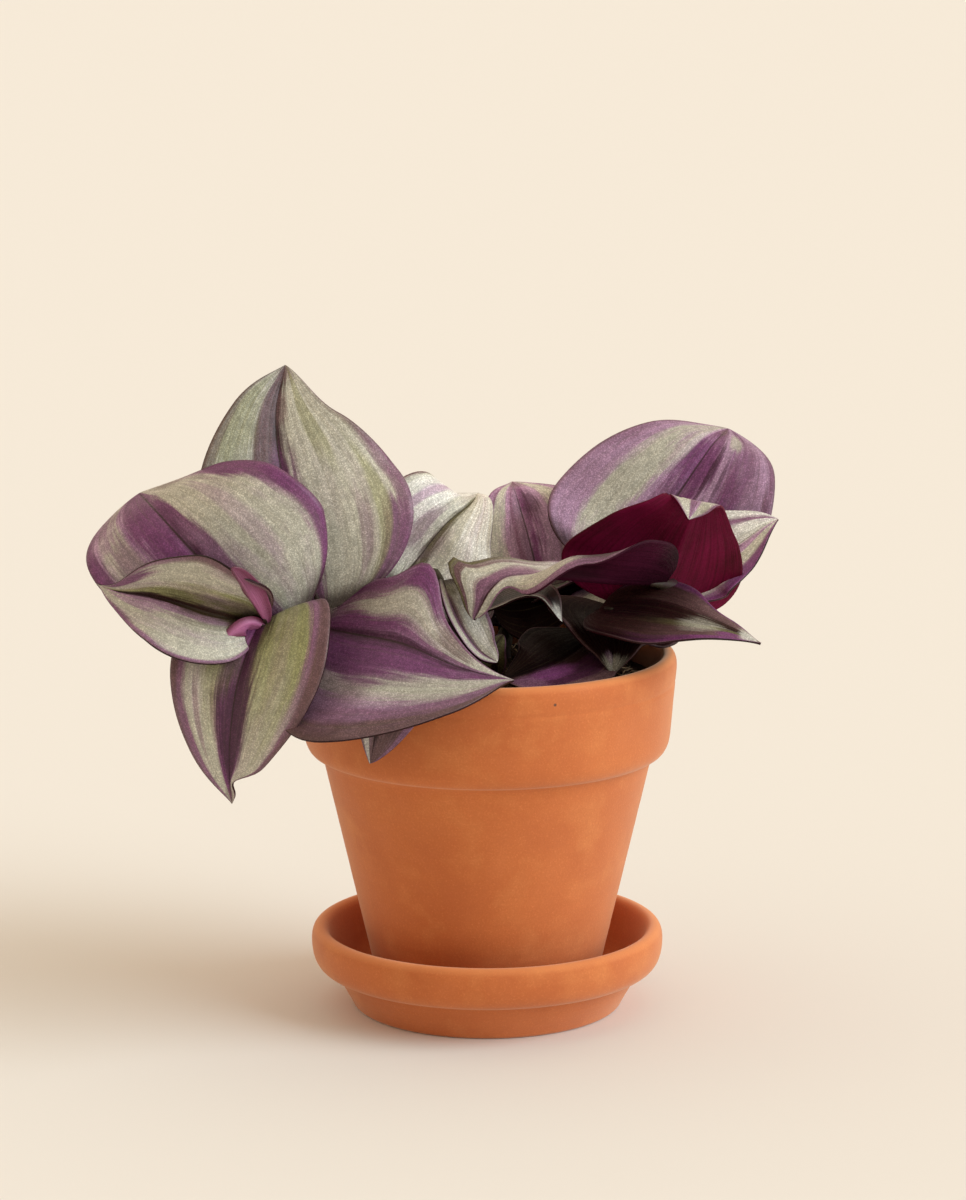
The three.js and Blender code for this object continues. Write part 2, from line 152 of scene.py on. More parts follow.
def paint(tree, colour, shade, value, low, high, toLow=0.0, toHigh=1.0, smooth=False):
    # brings in a shade as the value goes from low to high
    return blend(tree, spread(tree, value, low, high, toLow, toHigh, smooth), colour, shade)


def grain(tree, vector, scale, detail=2.0, roughness=0.5):
    node = addNode(tree, "TexNoise",
                   {"Vector": vector, "Scale": scale, "Detail": detail, "Roughness": roughness})
    return node.outputs["Fac"]


def objectSpot(tree):
    return addNode(tree, "TexCoord").outputs["Object"]


def rgba(colour, light=1.0):
    return (colour[0] * light, colour[1] * light, colour[2] * light, 1.0)


def setFinish(shader, roughness, specular):
    shader.inputs["Roughness"].default_value = roughness
    shader.inputs["Specular IOR Level"].default_value = specular


def addRelief(tree, shader, height, strength, depth, normal=None):
    # depth in mm
    inputs = {"Height": height, "Strength": strength, "Distance": depth * mm}
    if normal:
        inputs["Normal"] = normal
    tree.links.new(addNode(tree, "Bump", inputs).outputs[0], shader.inputs["Normal"])


# camera, light and floor
cameraSetup = {
    "lens": 114, "sensor": 36, "place": (-0.001, -0.8838, 0.2685), "downDegrees": 10.9, "clipEnd": 60,
}

camera = bpy.data.objects.new("camera", bpy.data.cameras.new("camera"))
camera.data.lens = cameraSetup["lens"]
camera.data.sensor_width = cameraSetup["sensor"]
camera.data.clip_end = cameraSetup["clipEnd"]
camera.location = cameraSetup["place"]
camera.rotation_euler = (math.radians(90 - cameraSetup["downDegrees"]), 0, 0)
scene.collection.objects.link(camera)
scene.camera = camera

lightSetup = {
    "keyTowards": (0.86, -0.27, 0.46),
    "keyPower": 2.50,
    "keyColour": (0.83, 0.95, 1.02),
    "keySoftness": 46,  # degrees across
    "roomColour": (1.0, 0.82, 0.63),
    "roomFront": 0.64,  # the dim side of the room, behind the camera
    "roomBack": 1.03,
    "roomChange": (-0.8, 0.3),  # from where to where the room grows brighter
    "floorColour": (0.775, 0.765, 0.735),
    "floorReach": 15,
}

key = bpy.data.objects.new("keyLight", bpy.data.lights.new("keyLight", "SUN"))
key.data.energy = lightSetup["keyPower"]
key.data.color = lightSetup["keyColour"]
key.data.angle = math.radians(lightSetup["keySoftness"])
key.rotation_euler = Vector(lightSetup["keyTowards"]).to_track_quat("Z", "Y").to_euler()
scene.collection.objects.link(key)

world = bpy.data.worlds.new("room")
scene.world = world
world.use_nodes = True
room = world.node_tree.nodes["Background"]
room.inputs["Color"].default_value = rgba(lightSetup["roomColour"])
towards = addNode(world.node_tree, "TexCoord").outputs["Generated"]
depth = addNode(world.node_tree, "SeparateXYZ", {0: towards}).outputs[1]
glow = spread(world.node_tree, depth, *lightSetup["roomChange"], lightSetup["roomFront"],
              lightSetup["roomBack"], smooth=True)
world.node_tree.links.new(glow, room.inputs["Strength"])

floorMaterial, tree, shader = newMaterial("paleFloor")
shader.inputs["Base Color"].default_value = rgba(lightSetup["floorColour"])
setFinish(shader, 0.9, 0.1)
bm = bmesh.new()
bmesh.ops.create_grid(bm, x_segments=8, y_segments=8, size=lightSetup["floorReach"])
floor = meshPiece("floor", bm, [floorMaterial], smooth=False)
print("camera, light and floor set")


# clay
clayFinish = {
    "body": (0.60, 0.166, 0.038),
    "pale": (0.70, 0.26, 0.080),
    "deep": (0.51, 0.124, 0.024),
    "speck": (0.12, 0.05, 0.03),
    # damp: a stain of damp soil inside the collar, made darker still as painted shade
    "damp": (0.09, 0.028, 0.012),
    "cloudScale": 34, "washScale": 90, "sandScale": 2200, "speckScale": 130.0,
    "turningStretch": (9, 9, 900),  # nearly level lines
    "roughness": 0.82, "specular": 0.55,
    "sheen": 0.4, "sheenRoughness": 0.45, "sheenTint": (1.0, 0.86, 0.68),
    "relief": 0.32, "reliefDepth": 0.25,
}


def clayMaterial(name, lipHeight, dampShadeRadius, seed):
    material, tree, shader = newMaterial(name)
    body, pale, deep = [rgba(clayFinish[shade]) for shade in ("body", "pale", "deep")]
    spot = objectSpot(tree)
    shifted = mapped(tree, spot, shift=(seed, 0, 0))
    clouds = grain(tree, shifted, clayFinish["cloudScale"], 4, 0.6)
    colour = paint(tree, deep, body, clouds, 0.36, 0.66)
    washes = grain(tree, shifted, clayFinish["washScale"], 3, 0.6)
    colour = paint(tree, colour, pale, washes, 0.5, 0.75, 0, 0.5)
    # fine lines left by turning
    lines = grain(tree, mapped(tree, shifted, clayFinish["turningStretch"]), 1.0, 3, 0.7)
    colour = paint(tree, colour, deep, lines, 0.35, 0.62, 0.16, 0)
    sand = grain(tree, shifted, clayFinish["sandScale"], 2, 0.7)
    colour = paint(tree, colour, rgba(clayFinish["deep"], 0.8), sand, 0.38, 0.64, 0.22, 0)
    colour = paint(tree, colour, rgba(clayFinish["pale"], 1.15), sand, 0.58, 0.8, 0, 0.3)
    height = addNode(tree, "SeparateXYZ", {0: spot}).outputs[2]
    if dampShadeRadius:
        # the wall inside the collar is darkened: a stain of damp soil, and painted shade where the leaves
        # shade the wall
        fromAxis = vectorLength(tree, vectorCalc(tree, "MULTIPLY", spot, (1, 1, 0)))
        inside = spread(tree, fromAxis, (dampShadeRadius - 0.6) * mm, (dampShadeRadius + 0.3) * mm, 0.75, 0.0)
        high = spread(tree, height, (lipHeight - 20) * mm, (lipHeight - 18) * mm)
        colour = blend(tree, calc(tree, "MULTIPLY", inside, high), colour, rgba(clayFinish["damp"]))
    # the lip is worn pale
    worn = rgba(clayFinish["pale"], 1.1)
    colour = paint(tree, colour, worn, height, (lipHeight - 1.6) * mm, (lipHeight - 0.2) * mm, 0, 0.55)
    # a few burnt specks
    cells = addNode(tree, "TexVoronoi", {"Vector": shifted, "Scale": clayFinish["speckScale"]})
    near = spread(tree, cells.outputs["Distance"], 0.03, 0.06, 1, 0)
    cellShade = addNode(tree, "SeparateColor", {0: cells.outputs["Color"]}).outputs[0]
    chosen = calc(tree, "GREATER_THAN", cellShade, 0.93)
    colour = blend(tree, calc(tree, "MULTIPLY", near, chosen), colour, rgba(clayFinish["speck"]))
    tree.links.new(colour, shader.inputs["Base Color"])
    shader.inputs["Specular IOR Level"].default_value = clayFinish["specular"]
    shader.inputs["Sheen Weight"].default_value = clayFinish["sheen"]
    shader.inputs["Sheen Roughness"].default_value = clayFinish["sheenRoughness"]
    shader.inputs["Sheen Tint"].default_value = rgba(clayFinish["sheenTint"])
    rough = spread(tree, washes, 0.3, 0.7, clayFinish["roughness"] - 0.06, clayFinish["roughness"] + 0.08)
    tree.links.new(rough, shader.inputs["Roughness"])
    relief = calc(tree, "ADD", calc(tree, "MULTIPLY", lines, 0.5), calc(tree, "MULTIPLY", sand, 0.5))
    addRelief(tree, shader, relief, clayFinish["relief"], clayFinish["reliefDepth"])
    return material


def turnedMarks(points, shape):
    # the slight ridges that turning leaves on a wall, but not near the axis
    marked = []
    for r, z in points:
        ridge = 0
        for shift, rate in ((0, 0.9), (5, 0.22)):
            ridge += noise.noise(Vector((shape["seed"], shift, z * rate))) * shape["marks"]
        marked.append((r + ridge if r > shape["smoothFoot"] else r, z))
    return marked


potShape = {
    "lip": 45.0, "height": 81.27, "foot": 26.28, "neck": 39.3, "collar": 24.7, "collarFlare": 1.4,
    "lipWidth": 3.7, "floor": 4.5, "drain": 6.0, "stands": 5.0, "rounding": 1.1,
    "dampShadeRadius": 41.2, "marks": 0.035, "smoothFoot": 12, "seed": 3.1, "sides": 160,
}


def potPoints(shape):
    lip, foot, neck, stands = shape["lip"], shape["foot"], shape["neck"], shape["stands"]
    top = stands + shape["height"]
    under = top - shape["collar"]
    collar = lip - shape["collarFlare"]
    innerLip = lip - shape["lipWidth"]
    innerFoot = foot - shape["lipWidth"] + 0.2
    soilFloor = stands + shape["floor"]
    return wallPoints((shape["drain"], stands), [
        ((foot - shape["rounding"], stands), 6),
        ((foot, stands), (foot + 0.2, stands + shape["rounding"]), 5),
        ((neck - 0.5, under - 2.2), 44),
        ((neck + 0.05, under + 0.1), (neck + 0.9, under + 0.3), 5),
        ((collar - 0.5, under + 0.4), (collar, under + 5.2), 8),
        ((lip - 0.35, top - 7.4), 16),
        ((lip - 0.55, top - 6.8), (lip - 0.25, top - 6.2), 4),  # faint groove
        ((lip, top - 3.7), 4),
        ((lip + 0.2, top + 0.1), (lip - 2.1, top), 9),
        ((innerLip + 0.2, top - 0.1), (innerLip, top - 1.9), 6),
        ((innerFoot, soilFloor), 30),
        ((shape["drain"], soilFloor), 5),
    ])


potWall = turnedMarks(potPoints(potShape), potShape)
potClay = clayMaterial("potClay", potShape["stands"] + potShape["height"], potShape["dampShadeRadius"], 0.0)
pot = meshPiece("clayPot", spunSolid(potWall, potShape["sides"], True), [potClay])
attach(pot, "root")
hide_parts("pot")
print("pot turned")

saucerShape = {
    "radius": 42.2, "floor": 5.0, "height": 19.5, "foot": 31.2, "well": 31.0, "rim": 10.3,
    "marks": 0.03, "smoothFoot": 12, "seed": 9.4, "sides": 160,
}


def saucerPoints(shape):
    radius, height, foot, floorHeight = shape["radius"], shape["height"], shape["foot"], shape["floor"]
    rimBase = height - shape["rim"]
    return wallPoints((0, 0), [
        ((foot, 0), 8),
        ((foot + 1, 0.1), (foot + 1.4, 1.2), 5),
        ((radius - 5.8, rimBase - 1.2), 12),
        ((radius - 5.3, rimBase - 0.1), (radius - 3.8, rimBase), 5),
        ((radius - 0.3, rimBase + 0.3), (radius, rimBase + 6.4), 12),
        ((radius + 0.1, height), (radius - 2.3, height), 9),
        ((radius - 3.8, height - 0.1), (radius - 4.4, height - 2.5), 7),
        ((radius - 5.8, height - 8.9), 8),
        ((radius - 6.9, floorHeight + 0.6), (shape["well"], floorHeight), 8),
        ((0, floorHeight), 10),
    ])


saucerWall = turnedMarks(saucerPoints(saucerShape), saucerShape)
saucerClay = clayMaterial("saucerClay", saucerShape["height"], None, 0.31)
saucer = meshPiece("claySaucer", spunSolid(saucerWall, saucerShape["sides"], False), [saucerClay])
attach(saucer, "root")
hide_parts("saucer")
print("saucer turned")


# soil
soilLook = {
    "edge": 79.47, "crown": 1.4, "bottom": 9.5, "edgeRadius": 40.4, "bottomRadius": 22.48, "sides": 110,
    "lumps": 0.9, "crumbs": 620, "crumbReach": 39.2, "crumbSizes": (0.35, 0.5, 0.5, 0.7, 1.1),
    "fibres": 120, "fibreReach": (24, 37.5), "fibreSteps": 7, "fibreStep": 0.9, "fibreThick": 0.16,
    "fibreEnd": 0.07, "fibreSide": (-1.3, 0.6),  # in radians: half of them lie where the soil shows
    "wall": 39.6,  # no fibre lies further out
    "seed": 41,
    "dark": (0.018, 0.010, 0.006), "brown": (0.055, 0.028, 0.014), "fibre": (0.50, 0.33, 0.18),
}


def soilMaterial(name, lighter):
    material, tree, shader = newMaterial(name)
    dark, brown = soilLook["dark"], soilLook["brown"]
    spot = objectSpot(tree)
    damp = grain(tree, spot, 120, 3, 0.6)
    colour = paint(tree, rgba(dark, lighter), rgba(brown, lighter), damp, 0.4, 0.65)
    dust = grain(tree, spot, 1500, 3, 0.75)
    colour = paint(tree, colour, rgba(brown, 2 * lighter), dust, 0.55, 0.75, 0, 0.6)
    tree.links.new(colour, shader.inputs["Base Color"])
    setFinish(shader, 0.95, 0.2)
    addRelief(tree, shader, dust, 0.7, 0.6)
    return material


def soilHeight(x, y):
    # top of the soil over a point of the pot, lumps included
    far = min(math.hypot(x, y) / soilLook["edgeRadius"], 1)
    lumps = noise.noise(Vector((x * 0.16, y * 0.16, 3)))
    lumps += 0.6 * noise.noise(Vector((x * 0.42, y * 0.42, 8)))
    crown = soilLook["crown"] * (1 - far * far)
    return soilLook["edge"] + crown + soilLook["lumps"] * lumps * (1 - far ** 6)


soilWall = wallPoints((0, soilLook["edge"]), [
    ((soilLook["edgeRadius"], soilLook["edge"]), 44),
    ((soilLook["bottomRadius"], soilLook["bottom"]), 12),
    ((0, soilLook["bottom"]), 6),
])
bm = spunSolid(soilWall, soilLook["sides"], False)
for vert in bm.verts:
    if vert.co.z > (soilLook["edge"] - 1) * mm:
        vert.co.z = soilHeight(vert.co.x / mm, vert.co.y / mm) * mm
soil = meshPiece("soilBed", bm, [soilMaterial("dampSoil", 1.0)])
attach(soil, "root")
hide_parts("soil")

chance = random.Random(soilLook["seed"])
bm = bmesh.new()
for i in range(soilLook["crumbs"]):
    far, turn = soilLook["crumbReach"] * math.sqrt(chance.random()), chance.uniform(0, fullTurn)
    x, y = far * math.cos(turn), far * math.sin(turn)
    size = chance.choice(soilLook["crumbSizes"]) * chance.uniform(0.7, 1.2)
    made = bmesh.ops.create_icosphere(bm, subdivisions=1, radius=size * mm)["verts"]
    for vert in made:
        vert.co *= chance.uniform(0.7, 1.25)
        vert.co.z *= 0.75
    bmesh.ops.translate(bm, verts=made, vec=(x * mm, y * mm, (soilHeight(x, y) + 0.25 * size) * mm))
crumbs = meshPiece("soilCrumbs", bm, [soilMaterial("looseSoil", 1.5)], smooth=False)
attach(crumbs, "root")
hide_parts("soil")
print("soil laid")


def tubePiece(name, runs, material, sides):
    # runs: lists of (point, radius), each swept as a round tube with closed ends
    curve = bpy.data.curves.new(name, "CURVE")
    curve.dimensions = "3D"
    curve.bevel_depth = mm
    curve.bevel_resolution = sides
    curve.use_fill_caps = True
    for run in runs:
        spline = curve.splines.new("POLY")
        spline.points.add(len(run) - 1)
        for point, (place, radius) in zip(spline.points, run):
            point.co = (place[0] * mm, place[1] * mm, place[2] * mm, 1)
            point.radius = radius
    sketch = bpy.data.objects.new(name + "Curve", curve)
    scene.collection.objects.link(sketch)
    ready = sketch.evaluated_get(bpy.context.evaluated_depsgraph_get())
    mesh = bpy.data.meshes.new_from_object(ready)
    bpy.data.objects.remove(sketch)
    bpy.data.curves.remove(curve)
    bm = bmesh.new()
    bm.from_mesh(mesh)
    bpy.data.meshes.remove(mesh)
    bmesh.ops.remove_doubles(bm, verts=bm.verts, dist=1e-7)
    bmesh.ops.recalc_face_normals(bm, faces=bm.faces)
    return meshPiece(name, bm, [material])


fibreMaterial, tree, shader = newMaterial("paleFibre")
shade = spread(tree, grain(tree, objectSpot(tree), 300, 2), 0.35, 0.65)
colour = blend(tree, shade, rgba(soilLook["fibre"], 0.35), rgba(soilLook["fibre"]))
tree.links.new(colour, shader.inputs["Base Color"])
setFinish(shader, 0.8, 0.5)

runs = []
for i in range(soilLook["fibres"]):
    turn = chance.uniform(*soilLook["fibreSide"]) if i % 2 else chance.uniform(0, fullTurn)
    far = chance.uniform(*soilLook["fibreReach"])
    x, y = far * math.cos(turn), far * math.sin(turn)
    heading = chance.uniform(0, fullTurn)
    run = []
    for step in range(soilLook["fibreSteps"]):
        z = soilHeight(x, y) + 0.35 + 0.9 * chance.random()
        inner = 0 < step < soilLook["fibreSteps"] - 1
        run.append(((x, y, z), soilLook["fibreThick"] if inner else soilLook["fibreEnd"]))
        heading += chance.uniform(-0.5, 0.5)
        x, y = x + soilLook["fibreStep"] * math.cos(heading), y + soilLook["fibreStep"] * math.sin(heading)
    if max(math.hypot(place[0], place[1]) for place, radius in run) < soilLook["wall"]:
        runs.append(run)
fibres = tubePiece("soilFibres", runs, fibreMaterial, 1)
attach(fibres, "root")
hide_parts("soil")
print("crumbs and fibres strewn")


# leaf finish
leafColours = {
    "silver": (0.435, 0.42, 0.35),
    "pale": (0.60, 0.59, 0.54),
    "green": (0.27, 0.275, 0.13),
    "olive": (0.10, 0.090, 0.042),
    "mauve": (0.205, 0.098, 0.165),
    "dusk": (0.13, 0.070, 0.075),
    "violet": (0.150, 0.040, 0.126),
    "plum": (0.060, 0.017, 0.042),
    "lilac": (0.37, 0.225, 0.345),
    "umber": (0.026, 0.009, 0.008),
    # soot: near black, a painted shade for leaves that lie deep in the shade of others
    "soot": (0.013, 0.003, 0.004),
}

leafFinish = {
    "bands": ("plum", 0.05, "violet", 0.20, "silver", 0.88, "mauve", 0.96, "violet"),
    "bandBorder": 0.045, "wobble": 0.34, "lilac": 0.35, "gloss": 0.3, "paintedSideLight": (1.0, 1.0),
    "streakStretch": (9, 1.7, 1), "hatchStretch": (62, 5, 1), "cloudStretch": (7, 2.4, 1),  # across, along
    "veins": 8.0, "mottleScale": 420, "glitterScale": 4600, "glitterTilt": 0.22,
    "relief": 0.30, "reliefDepth": 0.4,
}


def bandRamp(tree, place, bands):
    # bands: colours from the midrib, 0, to the margin, 1, and between each two the place of their border
    colours, borders, soft = bands[0::2], bands[1::2], leafFinish["bandBorder"]
    stops = [(0.0, colours[0])]
    for border, inner, outer in zip(borders, colours, colours[1:]):
        stops.append((max(border - soft, 0.001), inner))
        stops.append((min(border + soft, 0.999), outer))
    ramp = addNode(tree, "ValToRGB", {0: place})
    elements = ramp.color_ramp.elements
    elements[0].position, elements[0].color = stops[0][0], rgba(leafColours[stops[0][1]])
    elements.remove(elements[1])
    for position, colour in stops[1:]:
        elements.new(position).color = rgba(leafColours[colour])
    return ramp.outputs[0]


def glitterNormal(tree, spot, look):
    # silver cells under the leaf's skin each mirror the light their own way
    cells = addNode(tree, "TexVoronoi", {"Vector": spot, "Scale": look["glitterScale"]})
    cellColour = cells.outputs["Color"]
    tilt = scaled(tree, vectorCalc(tree, "SUBTRACT", cellColour, (0.5, 0.5, 0.5)), look["glitterTilt"])
    face = addNode(tree, "NewGeometry").outputs["Normal"]
    return vectorCalc(tree, "NORMALIZE", vectorCalc(tree, "ADD", face, tilt)), cellColour


def brushPatch(tree, colour, sheetSpot, ragged, patch):
    # a soft smudge: its middle across and along, its size across and along, its colour and strength
    u, t, wide, long, name, strength = patch
    fitted = mapped(tree, sheetSpot, (1 / wide, 1 / long, 0), (-u / wide, -t / long, 0))
    far = calc(tree, "ADD", vectorLength(tree, fitted), ragged)
    cover = spread(tree, far, 0.55, 1.25, strength, 0.0, smooth=True)
    return blend(tree, cover, colour, rgba(leafColours[name]))


def ownPatches(seed):
    # smudges for a leaf that has none of its own
    chance = random.Random(seed * 13)
    patches = []
    for i in range(5):
        u = chance.choice((-1, 1)) * (chance.uniform(0.7, 0.95) if i < 3 else chance.uniform(0.1, 0.3))
        patches.append((
            u, chance.uniform(0.25, 0.85), chance.uniform(0.12, 0.25), chance.uniform(0.12, 0.22),
            chance.choice(("violet", "mauve", "violet", "lilac")), chance.uniform(0.6, 0.95),
        ))
    return patches


def veinDistance(tree, out):
    return calc(tree, "PINGPONG", calc(tree, "MULTIPLY", out, leafFinish["veins"]), 0.5)


def leafUpperMaterial(name, leaf, seed):
    look = {**leafFinish, **leaf}
    material, tree, shader = newMaterial(name)
    sheet = addNode(tree, "UVMap", uv_map="leaf").outputs[0]
    parts = addNode(tree, "SeparateXYZ", {0: sheet})
    along = parts.outputs[1]
    signed = calc(tree, "MULTIPLY_ADD", parts.outputs[0], 2.0, -1.0)  # -1 and 1 at the margins
    out = calc(tree, "ABSOLUTE", signed)
    sheetSpot = addNode(tree, "CombineXYZ", {0: signed, 1: along}).outputs[0]
    stretched = mapped(tree, sheet, look["streakStretch"], (seed * 7.3, seed * 3.1, seed))
    streaks = calc(tree, "SUBTRACT", grain(tree, stretched, 1.0, 4, 0.62), 0.5)
    hatch = grain(tree, mapped(tree, sheet, look["hatchStretch"], (seed * 2.7, seed, 4)), 1.0, 2, 0.6)
    fine = calc(tree, "SUBTRACT", hatch, 0.5)
    # bands along the blade, with borders that wander
    place = calc(tree, "MULTIPLY_ADD", streaks, look["wobble"], out)
    place = calc(tree, "MULTIPLY_ADD", fine, 0.16, place, clamp=True)
    nearTip = spread(tree, calc(tree, "MULTIPLY_ADD", streaks, 0.5, along), 0.25, 0.85, smooth=True)
    sides = []
    for side in ("left", "right"):
        bands = bandRamp(tree, place, look.get(side + "Bands", look["bands"]))
        if side + "TipBands" in look:
            bands = blend(tree, nearTip, bands, bandRamp(tree, place, look[side + "TipBands"]))
        sides.append(bands)
    colour = blend(tree, calc(tree, "GREATER_THAN", signed, 0.0), *sides)
    # lilac clouds that run along the blade
    cloudSpot = mapped(tree, sheet, look["cloudStretch"], (seed * 1.9, seed * 5.3, 9))
    clouds = grain(tree, cloudSpot, 1.0, 4, 0.65)
    colour = paint(tree, colour, rgba(leafColours["lilac"]), clouds, 0.48, 0.66, 0, look["lilac"])
    ragged = calc(tree, "MULTIPLY_ADD", streaks, 1.5, calc(tree, "MULTIPLY", fine, 0.9))
    for patch in leaf.get("patches", ownPatches(seed)):
        colour = brushPatch(tree, colour, sheetSpot, ragged, patch)
    # the leaf's narrow foot is dark, and each side gets its own painted light and shade
    colour = paint(tree, colour, rgba(leafColours["umber"]), along, 0.03, 0.11, 0.85, 0.0, smooth=True)
    colour = scaled(tree, colour, spread(tree, signed, -0.12, 0.12, *look["paintedSideLight"], smooth=True))
    # fine hatching and mottling
    colour = scaled(tree, colour, spread(tree, hatch, 0.3, 0.7, 0.86, 1.10))
    spot = objectSpot(tree)
    mottle = spread(tree, grain(tree, spot, look["mottleScale"], 3, 0.7), 0.3, 0.7, 0.84, 1.14)
    colour = scaled(tree, colour, mottle)
    # parallel veins, a shade darker
    veins = veinDistance(tree, out)
    veinShade = spread(tree, streaks, -0.15, 0.15, 0.03, 0.2)
    veinLine = calc(tree, "MULTIPLY", spread(tree, veins, 0.0, 0.12, 1.0, 0.0), veinShade)
    colour = blend(tree, veinLine, colour, rgba(leafColours["olive"]))
    # dark midrib line and thin edge line
    colour = paint(tree, colour, rgba(leafColours["umber"], 0.7), out, 0.004, 0.020, 0.8, 0.0)
    edgeShade = spread(tree, streaks, -0.12, 0.12, 0.15, 0.6)
    edgeLine = calc(tree, "MULTIPLY", spread(tree, out, 0.965, 0.99), edgeShade)
    colour = blend(tree, edgeLine, colour, rgba(leafColours["dusk"]))
    # glitter: the cells' normals tilt, and some cells' colour is brightened as painted glints
    normal, cellColour = glitterNormal(tree, spot, look)
    cellShade = addNode(tree, "SeparateColor", {0: cellColour}).outputs[1]
    colour = scaled(tree, colour, spread(tree, cellShade, 0.55, 1.0, 0.93, 1.55))
    tree.links.new(colour, shader.inputs["Base Color"])
    tree.links.new(spread(tree, mottle, 0.84, 1.14, 0.50, 0.38), shader.inputs["Roughness"])
    shader.inputs["Specular IOR Level"].default_value = look["gloss"]
    relief = calc(tree, "ADD", calc(tree, "MULTIPLY", hatch, 0.6), calc(tree, "MULTIPLY", veins, 0.8))
    addRelief(tree, shader, relief, look["relief"], look["reliefDepth"], normal)
    return material


undersides = {
    "maroon": {"dark": (0.012, 0.0015, 0.003), "bright": (0.036, 0.004, 0.009)},
    # the crimson underside's bright shade is partly painted light, as of the key light shining through the
    # thin leaf
    "crimson": {"dark": (0.048, 0.0025, 0.008), "bright": (0.150, 0.004, 0.036), "gloss": 0.06},
    "purple": {"dark": (0.016, 0.002, 0.006), "bright": (0.052, 0.006, 0.022), "gloss": 0.06},
    "pink": {"dark": (0.10, 0.012, 0.040), "bright": (0.46, 0.15, 0.32), "gloss": 0.5, "roughness": 0.36,
             "marginShade": 0.75},
}
underFinish = {
    "gloss": 0.18, "roughness": 0.5, "hatchStretch": (60, 3, 1), "glitterScale": 2700, "glitterTilt": 0.20,
    "relief": 0.3, "reliefDepth": 0.4,
}


def leafUnderMaterial(name, side):
    look = {**underFinish, **side}
    dark, bright = look["dark"], look["bright"]
    material, tree, shader = newMaterial(name)
    sheet = addNode(tree, "UVMap", uv_map="leaf").outputs[0]
    parts = addNode(tree, "SeparateXYZ", {0: sheet})
    out = calc(tree, "ABSOLUTE", calc(tree, "MULTIPLY_ADD", parts.outputs[0], 2.0, -1.0))
    hatch = grain(tree, mapped(tree, sheet, look["hatchStretch"]), 1.0, 3, 0.6)
    spot = objectSpot(tree)
    clouds = grain(tree, spot, 55, 2)
    tone = calc(tree, "ADD", calc(tree, "MULTIPLY", clouds, 1.1), calc(tree, "MULTIPLY", hatch, 0.5))
    colour = paint(tree, rgba(dark), rgba(bright), tone, 0.6, 1.0)
    # painted shade: the margins darken, as on a rolled leaf whose edges turn from the light
    if "marginShade" in look:
        margin = spread(tree, out, 0.2, 0.8, 0.0, look["marginShade"], smooth=True)
        colour = blend(tree, margin, colour, rgba(dark, 1.3))
    colour = paint(tree, colour, rgba(bright, 1.2), out, 0.0, 0.05, 0.5, 0.0)  # keel
    colour = paint(tree, colour, rgba(dark, 0.6), veinDistance(tree, out), 0.0, 0.1, 0.35, 0.0)
    tree.links.new(colour, shader.inputs["Base Color"])
    setFinish(shader, look["roughness"], look["gloss"])
    addRelief(tree, shader, hatch, look["relief"], look["reliefDepth"], glitterNormal(tree, spot, look)[0])
    return material


underMaterials = {kind: leafUnderMaterial(kind + "Underside", side) for kind, side in undersides.items()}


# leaf and stem forms
leafShape = {
    "thick": 0.55, "smallThick": 0.45, "start": 0.012, "neck": 0.4, "tip": 0.15,
    "columns": 48, "rows": 56, "smallColumns": 20, "smallRows": 28,
    "wave": 0.5, "smallWave": 0.15, "waves": 2.3, "sideShift": 0.31,
    "vein": 0.045, "veinWaves": 4, "groove": 0.30, "grooveReach": 0.05,
}


def smoothRun(points, pieces=240):
    # a curve through given points, measured so that equal shares are equal lengths
    corners = [Vector(p) for p in points]
    corners = [2 * corners[0] - corners[1]] + corners + [2 * corners[-1] - corners[-2]]
    spans = len(points) - 1

    def at(share):
        spot = min(max(share, 0.0), 1.0) * spans
        i = min(int(spot), spans - 1)
        f = spot - i
        a, b, c, d = corners[i:i + 4]
        return 0.5 * ((2 * b) + (c - a) * f + (2 * a - 5 * b + 4 * c - d) * f ** 2
                      + (3 * b - a - 3 * c + d) * f ** 3)

    samples = [at(i / pieces) for i in range(pieces + 1)]
    lengths = [0.0]
    for a, b in zip(samples, samples[1:]):
        lengths.append(lengths[-1] + (b - a).length)

    def share(t):
        target = min(max(t, 0.0), 1.0) * lengths[-1]
        low, high = 0, pieces
        while high - low > 1:
            middle = (low + high) // 2
            if lengths[middle] <= target:
                low = middle
            else:
                high = middle
        gap = lengths[high] - lengths[low]
        return (low + ((target - lengths[low]) / gap if gap else 0)) / pieces

    def place(t):
        return at(share(t))

    def heading(t):
        s = share(t)
        return (at(s + 1e-4) - at(s - 1e-4)).normalized()

    return place, heading, lengths[-1]


def between(stations, t):
    # eases from one value to the next along the leaf
    last = len(stations) - 1
    if last == 0:
        return stations[0]
    place = min(max(t, 0.0), 1.0) * last
    i = min(int(place), last - 1)
    f = place - i
    ease = f * f * (3 - 2 * f)
    return stations[i] * (1 - ease) + stations[i + 1] * ease


def halfWidth(side, t, lobe):
    widest, baseFull, tipFull = side
    belly = baseFull / (baseFull + tipFull)
    peak = belly ** baseFull * (1 - belly) ** tipFull
    full = t ** baseFull * (1 - t) ** tipFull / peak
    neck = leafShape["neck"] + (leafShape["tip"] - leafShape["neck"]) * t
    width = neck + (widest - neck) * full
    if lobe:
        middle, extra, reach = lobe
        width += extra * math.exp(-((t - middle) / reach) ** 2)
    return width


def leafRow(leaf, place, heading, t):
    # what all points of one row across the leaf share
    along = heading(t)
    up = Vector([between([d[k] for d in leaf["face"]], t) for k in range(3)])
    up = (up - up.dot(along) * along).normalized()
    row = {"rib": place(t), "up": up, "right": along.cross(up)}
    for side, sign in (("Left", -1), ("Right", 1)):
        row[sign] = (
            halfWidth(leaf[side.lower()], t, leaf.get(side.lower() + "Lobe")),
            math.radians(between(leaf.get("fold" + side, leaf.get("fold")), t)),
            math.radians(between(leaf.get("curl" + side, leaf.get("curl")), t)),
        )
    return row


